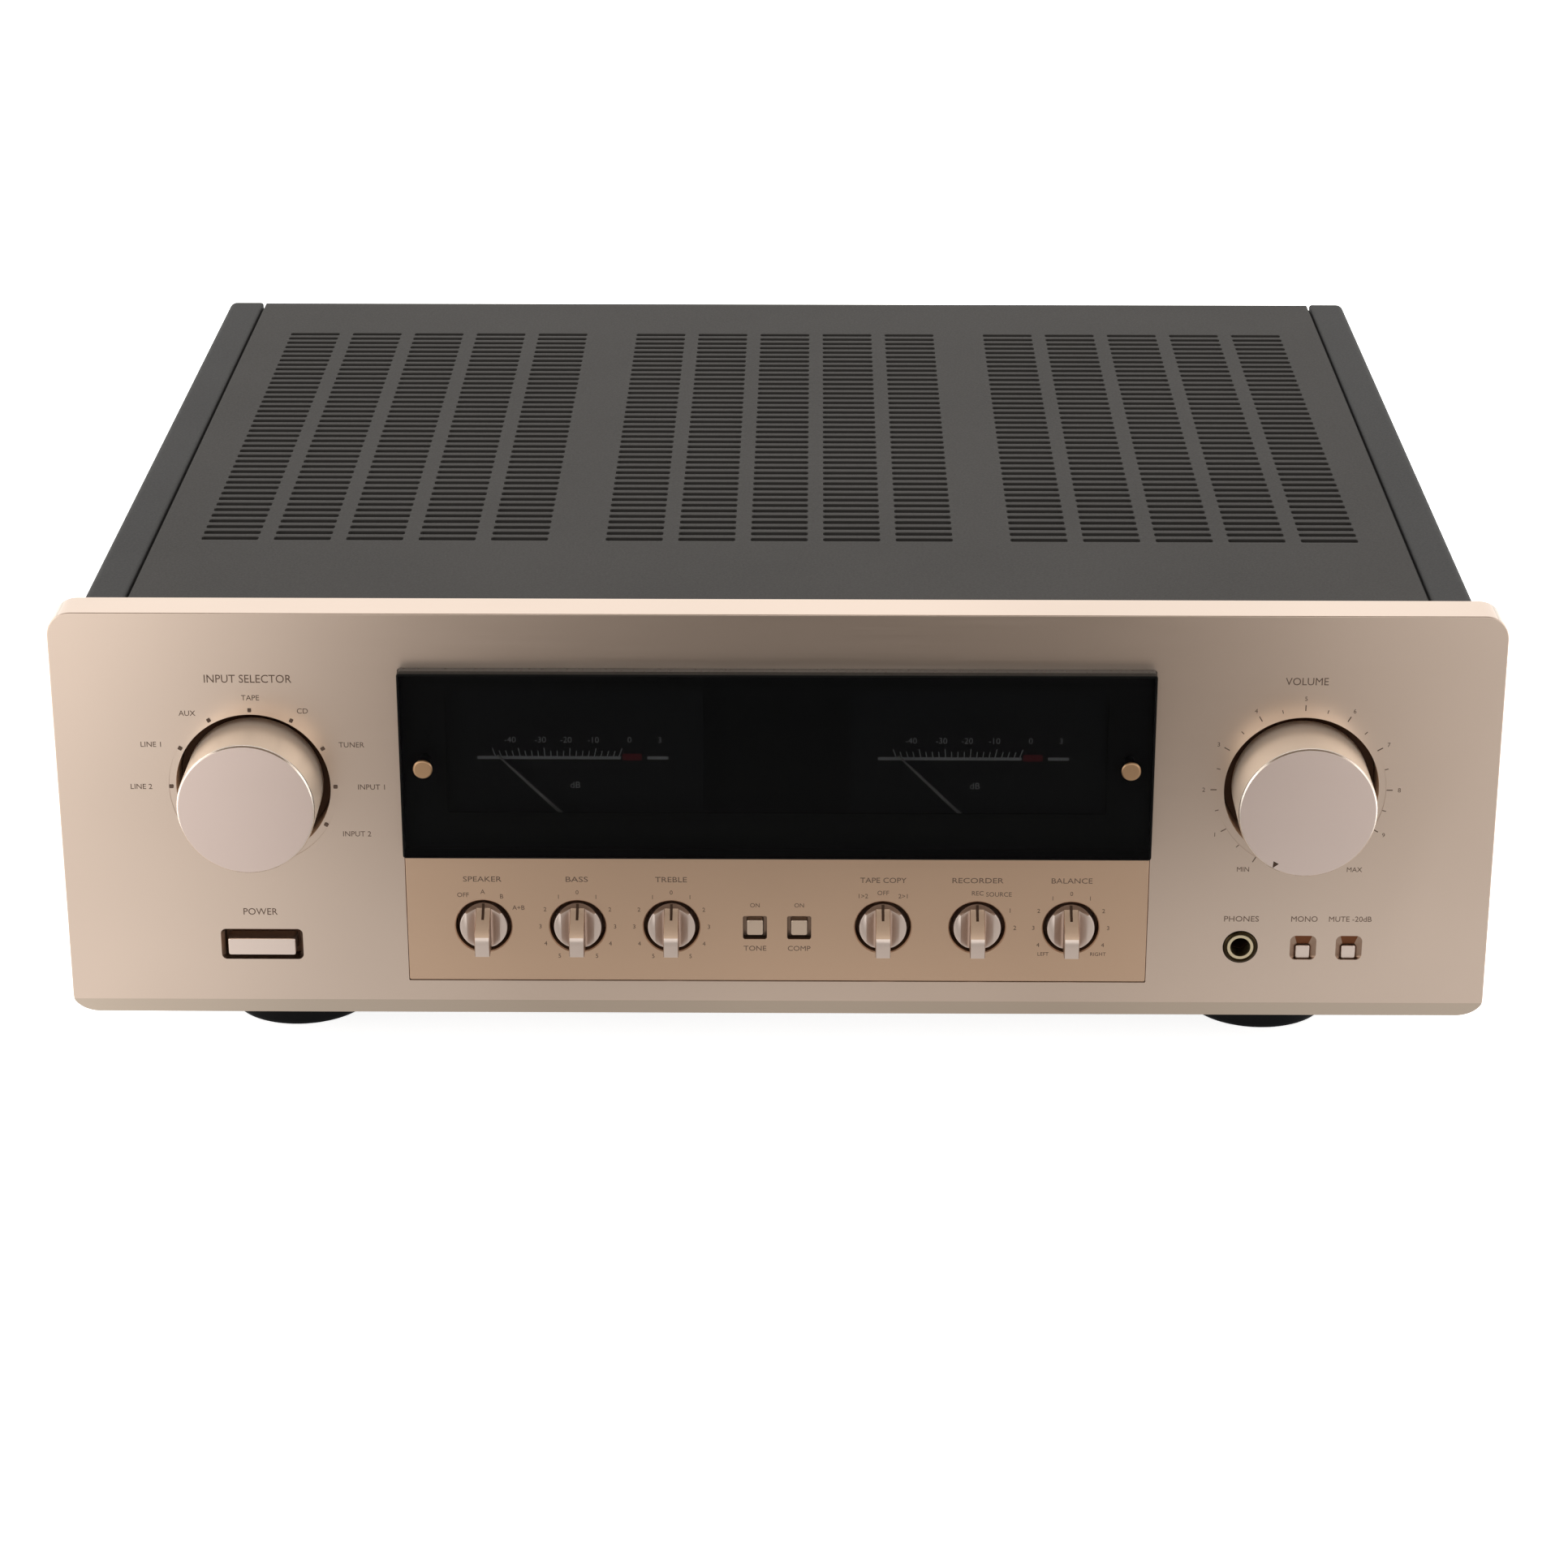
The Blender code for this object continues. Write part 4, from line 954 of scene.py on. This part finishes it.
def top_cover():
    """Plate with 630 slots: a grid whose vent cells each hold an eight-sided slot with a chamfer."""
    ease = 0.9 * MM
    half = COVER_HIGH.x - COVER_INSET - ease
    xs, vents = [-half], []
    for group in range(VENT_GROUPS):
        left = (group - (VENT_GROUPS - 1) / 2) * VENT_GROUP_PITCH - VENT_COLUMNS / 2 * VENT_COLUMN_PITCH
        vents += range(len(xs), len(xs) + VENT_COLUMNS)
        xs += [left + column * VENT_COLUMN_PITCH for column in range(VENT_COLUMNS + 1)]
    xs.append(half)
    ys = [COVER_LOW.y + ease] + [VENT_FRONT + row * VENT_PITCH for row in range(VENT_ROWS + 1)]
    ys.append(COVER_HIGH.y - ease)
    bm = bmesh.new()
    layers = [[[bm.verts.new((x, y, z)) for x in xs] for y in ys] for z in (COVER_HIGH.z, COVER_LOW.z)]
    for row in range(len(ys) - 1):
        for column in range(len(xs) - 1):
            cells = [(grid[row][column], grid[row][column + 1], grid[row + 1][column + 1],
                      grid[row + 1][column]) for grid in layers]
            if column in vents and 1 <= row <= VENT_ROWS:
                vent(bm, cells)
            else:
                for cell in cells:
                    bm.faces.new(cell)
    rounded_border(bm, layers, ease)
    mesh = mesh_of("slotted_cover", bm)
    piece("slotted_cover", mesh, ["cover", "slot_wall_shade"], "chassis", ["top_cover"], angle=40)


def vent(bm, cells):
    """A slot through the plate, inside the upper and lower cell. Its walls below the chamfer are index 1, a
    slightly darker paint as painted shade.
    """
    web, gap = (VENT_COLUMN_PITCH - VENT_LENGTH) / 2, (VENT_PITCH - VENT_WIDTH) / 2
    nip, drop = 0.6 * MM, 0.12 * MM
    x0, y0 = cells[0][0].co.x + web, cells[0][0].co.y + gap
    x1, y1 = cells[0][2].co.x - web, cells[0][2].co.y - gap
    outline = ((x0 + nip, y0), (x1 - nip, y0), (x1, y0 + nip), (x1, y1 - nip),
               (x1 - nip, y1), (x0 + nip, y1), (x0, y1 - nip), (x0, y0 + nip))
    rims = []
    for cell in cells:
        rim = [bm.verts.new((x, y, cell[0].co.z)) for x, y in outline]
        rims.append(rim)
        for side in range(4):
            following = cell[(side + 1) % 4]
            bm.faces.new((cell[side], following, rim[2 * side + 1], rim[2 * side]))
            bm.faces.new((following, rim[(2 * side + 2) % 8], rim[2 * side + 1]))
    centre_x, centre_y = (x0 + x1) / 2, (y0 + y1) / 2
    shrink_x, shrink_y = 1 - 2 * drop / (x1 - x0), 1 - 2 * drop / (y1 - y0)
    inner = [bm.verts.new((centre_x + (x - centre_x) * shrink_x, centre_y + (y - centre_y) * shrink_y,
                           COVER_HIGH.z - drop)) for x, y in outline]
    for wall, (first, second) in enumerate(((rims[0], inner), (inner, rims[1]))):
        for face in band_between(bm, first, second):
            face.material_index = wall


def rounded_border(bm, layers, ease):
    """Rounds the plate's upper edge and closes its sides."""
    def border(grid):
        loop = grid[0] + [row[-1] for row in grid[1:]]
        return loop + grid[-1][-2::-1] + [row[0] for row in grid[-2:0:-1]]

    def outward(value, values):
        """-1, 0 or 1: whether the value is the lowest, between, or the highest."""
        return (value > max(values) - 1e-6) - (value < min(values) + 1e-6)

    rings = [border(layers[0])]
    corners = [v.co.copy() for v in rings[0]]
    xs, ys = [co.x for co in corners], [co.y for co in corners]
    directions = [(outward(co.x, xs), outward(co.y, ys)) for co in corners]
    for inset, down in eased(ease)[1:]:
        out = ease - inset
        rings.append([bm.verts.new((co.x + out * right, co.y + out * back, COVER_HIGH.z - down))
                      for co, (right, back) in zip(corners, directions)])
    rings.append(border(layers[1]))
    for ring, following in zip(rings, rings[1:]):
        band_between(bm, ring, following)


def side_panels():
    """Channels with a round outer corner and eased edges along the seam with the cover."""
    for name, side in (("left", -1), ("right", 1)):
        node = "side_panel_" + name
        low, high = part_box(node)
        outer = max(abs(low.x), abs(high.x))
        top, bottom = high.z, low.z
        strip = outer - 14.1 * MM
        wall = outer - 4.0 * MM
        ledge = COVER_LOW.z - 0.3 * MM
        radius, ease = 3.2 * MM, 1.1 * MM
        outline = [(outer - 1.0 * MM, bottom), (outer, bottom + 1.0 * MM)]
        outline += [(outer - drop, top - inset) for inset, drop in eased(radius, 10)]
        outline += [(strip + inset, top - drop) for inset, drop in eased(ease)]
        outline += [(strip, ledge), (strip - 7.0 * MM, ledge), (strip - 7.0 * MM, ledge - 3.2 * MM),
                    (wall, ledge - 3.2 * MM), (wall, bottom + 1.5 * MM), (strip, bottom + 1.5 * MM),
                    (strip, bottom)]
        sections = [[(side * u, y, v) for u, v in outline] for y in (low.y, high.y)]
        piece(node + "_metal", mesh_from(node + "_metal", [sections]), "side", "chassis", [node])


def foot_centre(node):
    centre = middle(node)
    centre.x += math.copysign(FOOT_SHIFT, centre.x)
    return centre


def foot(node):
    """Black foot with a groove round it and a rubber pad below."""
    low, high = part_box(node)
    centre = foot_centre(node)
    radius = (high.x - low.x) / 2 + FOOT_SHIFT
    profile = [(4.4 * MM, 2.6 * MM), (4.4 * MM, 0.9 * MM), (4.8 * MM, 0.55 * MM)]
    profile += [(radius - inset * MM, up * MM) for inset, up in (
        (5.2, 0.55), (4.6, 0.1), (1.4, 0.1), (0.5, 0.35), (0.1, 1.0), (0, 1.8), (0, 9.0), (0.5, 9.5),
        (0.5, 10.3), (0, 10.8))]
    profile += [(radius, high.z - 1.5 * MM), (radius - 1.5 * MM, high.z)]
    mesh = mesh_from(node + "_shell", [turned_z(profile, 96, centre.x, centre.y)])
    piece(node + "_shell", mesh, "foot", "chassis", [node])
    pad = [(5.0 * MM, 0.5 * MM), (5.6 * MM, 0.0), (radius - 5.6 * MM, 0.0), (radius - 5.2 * MM, 0.3 * MM),
           (radius - 5.2 * MM, 0.55 * MM), (5.0 * MM, 0.55 * MM)]
    mesh = mesh_from(node + "_pad", [turned_z(pad, 72, centre.x, centre.y)], closed=True)
    piece(node + "_pad", mesh, "rubber", "chassis")


def screw(name, x, y, z, radius, axis="Y", outward=1, key="moulded"):
    """Domed head with a cross recess, facing outward along its axis."""
    height = radius * 0.55
    profile = [(radius * 0.93, 0.0), (radius, 0.12 * height), (radius * 0.88, 0.6 * height),
               (radius * 0.6, 0.92 * height), (radius * 0.3, height)]
    head = mesh_from(name, [turned_z(profile, 28, 0, 0)])
    arm, thick, deep = radius * 0.55, radius * 0.16, height * 0.45
    cross = [(arm, thick), (thick, thick), (thick, arm), (-thick, arm), (-thick, thick), (-arm, thick),
             (-arm, -thick), (-thick, -thick), (-thick, -arm), (thick, -arm), (thick, -thick), (arm, -thick)]
    tool = mesh_from(name + "_cross", [[on_z(cross, height - deep), on_z(cross, height + radius)]])
    mesh, keys = carved(head, tool, [key], [key])
    if axis == "Y":
        mesh.transform(Matrix.Rotation(math.radians(-90 * outward), 4, "X"))
    elif outward < 0:
        mesh.transform(Matrix.Rotation(math.pi, 4, "X"))
    mesh.transform(Matrix.Translation((x, y, z)))
    piece(name, mesh, keys, "chassis", weighted=False)


# ---- rear ----

SOCKET_RISE = 9.5 * MM               # of each row of signal sockets, from the middle


def rear_side():
    dress("rear_panel", "chassis")
    dress("signal_sockets", "moulded")
    low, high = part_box("signal_sockets")
    centre = middle("signal_sockets")
    columns, pitch = 7, 20.0 * MM
    white = Print(REAR_Y, behind=True)
    for column in range(columns):
        x = centre.x + (column - (columns - 1) / 2) * pitch
        for row, level in ((-1, "lower"), (1, "upper")):
            place = Vector((x, REAR_Y, centre.z + row * SOCKET_RISE))
            rca_socket(f"signal_socket_{column + 1}_{level}", place, "white" if row > 0 else "red")
        white.text(str(columns - column), x, high.z + 3.5 * MM, 2.4)
    for text, row in (("L", 1), ("R", -1)):
        white.text(text, high.x + 4.0 * MM, centre.z + row * SOCKET_RISE, 2.6)
    white.text("INPUTS", centre.x, high.z + 9.5 * MM, 3.0)
    for side in ("left", "right"):
        base = middle("speaker_terminal_base_" + side)
        dress("speaker_terminal_base_" + side, "moulded")
        white.beside("SPEAKERS " + side[0].upper(), base, 0, 19.0, 3.0)
        for pair in ("a", "b"):
            names = [f"speaker_cap_{side}_{pair}_{pole}" for pole in ("negative", "positive")]
            xs = [middle(name).x for name in names]
            white.text(pair.upper(), sum(xs) / 2, base.z - 17.0 * MM, 2.6)
            for name, sign in zip(names, ("-", "+")):
                terminal_cap(name)
                white.text(sign, middle(name).x, base.z - 17.0 * MM, 3.0)
    mains_inlet()
    white.beside("AC INPUT", middle("mains_inlet"), 0, 18.5, 3.0)
    white.finish("rear_lettering", "print", "chassis")
    low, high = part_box("rear_panel")
    index = 0
    for x in (low.x + 10 * MM, -70 * MM, 0.0, 70 * MM, high.x - 10 * MM):
        for z in (low.z + 8 * MM, high.z - 9 * MM):
            index += 1
            screw(f"rear_screw_{index}", x, REAR_Y, z, 3.0 * MM)


def rca_socket(name, place, colour):
    """Gold barrel with a coloured insulator and an open centre contact."""
    inner, outer, end = 3.5 * MM, 4.25 * MM, 10.6 * MM
    barrel = [(inner, 4.0 * MM), (inner, end - 0.2 * MM), (inner + 0.2 * MM, end), (outer - 0.2 * MM, end),
              (outer, end - 0.25 * MM), (outer, 2.2 * MM), (5.4 * MM, 2.2 * MM), (5.4 * MM, 1.05 * MM),
              (inner, 1.05 * MM)]
    turned_piece(name, barrel, 40, place, REAR_Y, "gold")
    core = washer(1.7 * MM, inner - 0.05 * MM, 6.0 * MM, 10.4 * MM)
    turned_piece(name + "_insulator", core, 32, place, REAR_Y, colour)


def terminal_cap(node):
    """Cap with ribs round it for the fingers, a shoulder and an open end for a banana plug."""
    low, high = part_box(node)
    centre = middle(node)
    radius = (high.x - low.x) / 2
    start = low.y - REAR_Y
    end = high.y - REAR_Y
    ribs = 20

    def ribbed(scale, y):
        outline = []
        for i in range(ribs * 4):
            angle = i / (ribs * 4) * TAU
            reach = radius * scale * (1.0 if i % 4 in (0, 1) else 0.945)
            outline.append((reach * math.cos(angle), reach * math.sin(angle)))
        return on_y(outline, REAR_Y + y, centre.x, centre.z)

    def plain(r, y):
        return on_y(circle(r, ribs * 4), REAR_Y + y, centre.x, centre.z)

    sections = [plain(2.9 * MM, 17.4 * MM), plain(2.9 * MM, start), plain(radius * 0.9, start),
                plain(radius * 0.9, start + 1.2 * MM), ribbed(1.0, start + 1.6 * MM),
                ribbed(1.0, end - 2.4 * MM), plain(radius * 0.86, end - 1.4 * MM),
                plain(radius * 0.74, end), plain(2.2 * MM, end), plain(2.2 * MM, 17.9 * MM)]
    mesh = mesh_from(node + "_ribbed", [sections])
    key, slot = ("red", "cap_red") if node.endswith("positive") else ("moulded", "cap_black")
    piece(node + "_ribbed", mesh, key, body_of(node), [node], angle=25)
    collar = washer(3.0 * MM, 6.6 * MM, start - 0.15 * MM, start - 0.02 * MM)
    turned_piece(node + "_washer", collar, 40, centre, REAR_Y, "gold")


def mains_inlet():
    """Three flat pins with tapered ends, and the screw at each side of the inlet."""
    centre = middle("mains_inlet")
    dress("mains_inlet", "moulded")
    outline = rounded_rectangle(2.0 * MM, 4.2 * MM, 0.4 * MM, 3)
    tip = [(0.5 * u, 0.6 * v) for u, v in outline]
    for name, right, up in (("live", -7.0, 2.0), ("neutral", 7.0, 2.0), ("earth", 0.0, -2.0)):
        sections = [on_y(shape, REAR_Y + depth * MM, centre.x + right * MM, centre.z + up * MM)
                    for shape, depth in ((outline, -13.9), (outline, 0.6), (tip, 1.4))]
        mesh = mesh_from("mains_pin_" + name, [sections])
        piece("mains_pin_" + name, mesh, "steel", "chassis")
    for name, side in (("left", -1), ("right", 1)):
        screw("mains_screw_" + name, centre.x + side * 20.0 * MM, REAR_Y, centre.z, 2.6 * MM, key="steel")


# ---- underside and inside ----

def underside():
    dress("bottom_plate", "chassis")
    low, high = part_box("bottom_plate")
    inset = 12 * MM
    places = [(x, y) for x in (low.x + inset, 0.0, high.x - inset)
              for y in (low.y + inset, 0.0, high.y - inset) if (x, y) != (0.0, 0.0)]
    for index, (x, y) in enumerate(places, 1):
        screw(f"base_screw_{index}", x, y, low.z, 3.0 * MM, axis="Z", outward=-1)
    for corner in CORNERS:
        centre = foot_centre("foot_" + corner)
        screw("foot_screw_" + corner, centre.x, centre.y, 2.6 * MM, 3.2 * MM,
              axis="Z", outward=-1, key="steel")


# Materials of the CAD nodes inside
INSIDE = {
    "board": ("amplifier_board_left", "amplifier_board_right", "power_supply_board", "preamp_board",
              "tone_control_board"),
    "sink": ("heat_sink_left", "heat_sink_right"),
    "steel": ("power_transformer", "volume_potentiometer", "input_selector_switch"),
    "sleeve": ("filter_capacitor_left", "filter_capacitor_right"),
    "moulded": ("power_switch",),
    "chassis": ("front_subchassis",),
}


def inside():
    for key, nodes in INSIDE.items():
        for node in nodes:
            dress(node, key)
    board_parts()


def board_parts():
    """Small round capacitors on the preamplifier board, seen dimly through the cover's slots."""
    dice = random.Random(5)
    low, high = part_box("preamp_board")
    solids = []
    for i in range(10):
        for j in range(3):
            x = low.x + (14 + 22.5 * i + dice.uniform(-3, 3)) * MM
            y = low.y + (14 + 21 * j + dice.uniform(-3, 3)) * MM
            r = dice.choice((3.2, 4.0, 5.0)) * MM
            tall = r * dice.uniform(2.2, 3.0)
            profile = [(r, 0.1 * MM), (r, tall - 0.5 * MM), (r - 0.5 * MM, tall)]
            solids.append(turned_z(profile, 24, x, y, high.z))
    piece("preamp_capacitors", mesh_from("preamp_capacitors", solids), "sleeve", "chassis")


# ---- stage ----

def softbox(name, place, aim, width, height, power):
    lamp = bpy.data.lights.new(name, "AREA")
    lamp.shape = "RECTANGLE"
    lamp.size, lamp.size_y = width, height
    lamp.energy = power
    lamp.color = (1.0, 0.96, 0.91)
    holder = bpy.data.objects.new(name, lamp)
    holder.location = place
    holder.rotation_euler = (Vector(aim) - Vector(place)).to_track_quat("-Z", "Y").to_euler()
    scene.collection.objects.link(holder)
    return holder


# Brightness of the table in front of the amplifier, as its metal reflects it, from left to right in metres:
# further from the amplifier, and close to it
TABLE_FAR = ((-0.40, 1.42), (-0.30, 1.18), (-0.24, 0.64), (-0.18, 0.28), (-0.12, 0.11), (-0.03, 0.04),
             (0.06, 0.04), (0.13, 0.10), (0.19, 0.23), (0.25, 0.44), (0.31, 0.74), (0.40, 0.86))
TABLE_NEAR = ((-0.40, 1.12), (-0.24, 1.05), (-0.16, 0.72), (-0.08, 0.62), (0.0, 0.62), (0.10, 0.60),
              (0.20, 0.72), (0.40, 0.95))
NEAR_STARTS, NEAR_ENDS = -0.56, -0.25
DARK_TINT = (1.0, 0.80, 0.62)
PALE_TINT = (1.0, 0.97, 0.94)


def table_ramp(tree, place, stops):
    """Colour along X through the stops. Darker stops are browner."""
    low, high = stops[0][0], stops[-1][0]
    reach = add_node(tree, "MapRange", From_Min=low, From_Max=high)
    tree.links.new(place, reach.inputs["Value"])
    ramp = add_node(tree, "ValToRGB")
    elements = ramp.color_ramp.elements
    elements[0].position, elements[1].position = 0.0, 1.0
    for at, _ in stops[1:-1]:
        elements.new((at - low) / (high - low))
    for element, (at, level) in zip(elements, stops):
        share = min(1.0, level / 0.7)
        element.color = (*(level * (d + (p - d) * share) for d, p in zip(DARK_TINT, PALE_TINT)), 1)
    tree.links.new(reach.outputs["Result"], ramp.inputs["Fac"])
    return ramp.outputs["Color"]


def glossy_card(name, mesh, material):
    """A stage card that only reflections see."""
    card = bpy.data.objects.new(name, mesh)
    mesh.materials.append(material)
    scene.collection.objects.link(card)
    card.visible_camera = card.visible_shadow = False
    card.visible_diffuse = card.visible_transmission = False


def glow_material(name):
    material = bpy.data.materials.new(name)
    material.use_nodes = True
    tree = material.node_tree
    tree.nodes.clear()
    glow = add_node(tree, "Emission")
    end = add_node(tree, "OutputMaterial")
    tree.links.new(glow.outputs["Emission"], end.inputs["Surface"])
    return material, tree, glow


def reflected_table():
    """The table that the front reflects: dark in the middle, brighter at both sides and close by."""
    outline = [(-0.9, -2.6), (0.9, -2.6), (0.9, -0.16), (-0.9, -0.16)]
    mesh = mesh_from("reflected_table", [[on_z(outline, z) for z in (0.001, 0.003)]])
    material, tree, glow = glow_material("reflected_table")
    split = add_node(tree, "SeparateXYZ")
    tree.links.new(add_node(tree, "TexCoord").outputs["Object"], split.inputs["Vector"])
    near = add_node(tree, "MapRange", From_Min=NEAR_STARTS, From_Max=NEAR_ENDS)
    near.interpolation_type = "SMOOTHSTEP"
    tree.links.new(split.outputs["Y"], near.inputs["Value"])
    blend = add_node(tree, "Mix")
    blend.data_type = "RGBA"
    tree.links.new(near.outputs["Result"], blend.inputs[0])
    tree.links.new(table_ramp(tree, split.outputs["X"], TABLE_FAR), blend.inputs[6])
    tree.links.new(table_ramp(tree, split.outputs["X"], TABLE_NEAR), blend.inputs[7])
    tree.links.new(blend.outputs[2], glow.inputs["Color"])
    glossy_card("reflected_table", mesh, material)


def dark_ceiling():
    """The dark room above the camera, which surfaces that face up and forward reflect."""
    outline = rounded_rectangle(5.0, 2.6, 0.3)
    mesh = mesh_from("dark_ceiling", [[on_z(outline, z, 0, -1.5) for z in (1.40, 1.42)]])
    material, _, glow = glow_material("dark_ceiling")
    glow.inputs["Color"].default_value = (0.20, 0.15, 0.115, 1)
    glossy_card("dark_ceiling", mesh, material)


def studio():
    world = bpy.data.worlds.new("studio")
    scene.world = world
    world.use_nodes = True
    background = world.node_tree.nodes["Background"]
    background.inputs["Color"].default_value = (1.0, 0.985, 0.965, 1)
    background.inputs["Strength"].default_value = 1.12
    scene.view_settings.view_transform = "Standard"

    outline = rounded_rectangle(14.0, 14.0, 3.0)
    mesh = mesh_from("floor", [[on_z(outline, z, 0, 2.0) for z in (-0.02, 0.0)]])
    floor = bpy.data.objects.new("floor", mesh)
    s = Shader("floor_pale", (0.94, 0.94, 0.93), 0.7)
    s.tones(s.noise((2, 2, 2)), 0.99, 1.01)
    s.out.inputs["Emission Color"].default_value = (1.0, 1.0, 1.0, 1)
    s.out.inputs["Emission Strength"].default_value = 0.85
    mesh.materials.append(s.material)
    scene.collection.objects.link(floor)

    softbox("top_softbox", (0.0, 0.1, 1.6), (0, 0.1, 0), 2.2, 1.6, 13).visible_glossy = False
    softbox("left_softbox", (-1.5, -0.7, 0.8), (0, -0.1, 0.08), 1.6, 1.3, 7)
    softbox("right_softbox", (1.5, -0.8, 0.8), (0, -0.1, 0.08), 1.4, 1.2, 4)
    reflected_table()
    dark_ceiling()

    lens = bpy.data.cameras.new("camera")
    lens.lens = 91.7
    lens.sensor_width = 36.0
    camera = bpy.data.objects.new("camera", lens)
    camera.location = (0.0122, -1.407, 0.6145)
    camera.rotation_euler = Vector((-0.0075, 0.9238, -0.3828)).to_track_quat("-Z", "Y").to_euler()
    scene.collection.objects.link(camera)
    scene.camera = camera


studio()
front_panel()
subpanel()
recess_linings()
window()
meters()
for knob in ("input_selector_knob", "volume_knob"):
    large_knob(knob)
volume_pointer()
for knob in SMALL_KNOBS:
    small_knob(knob)
for knob in BUTTONS:
    button(knob)
for knob in BUTTONS:
    button_well(knob)
headphone_socket()
front_lettering()
subpanel_lettering()
top_cover()
side_panels()
for corner in CORNERS:
    foot("foot_" + corner)
rear_side()
underside()
inside()
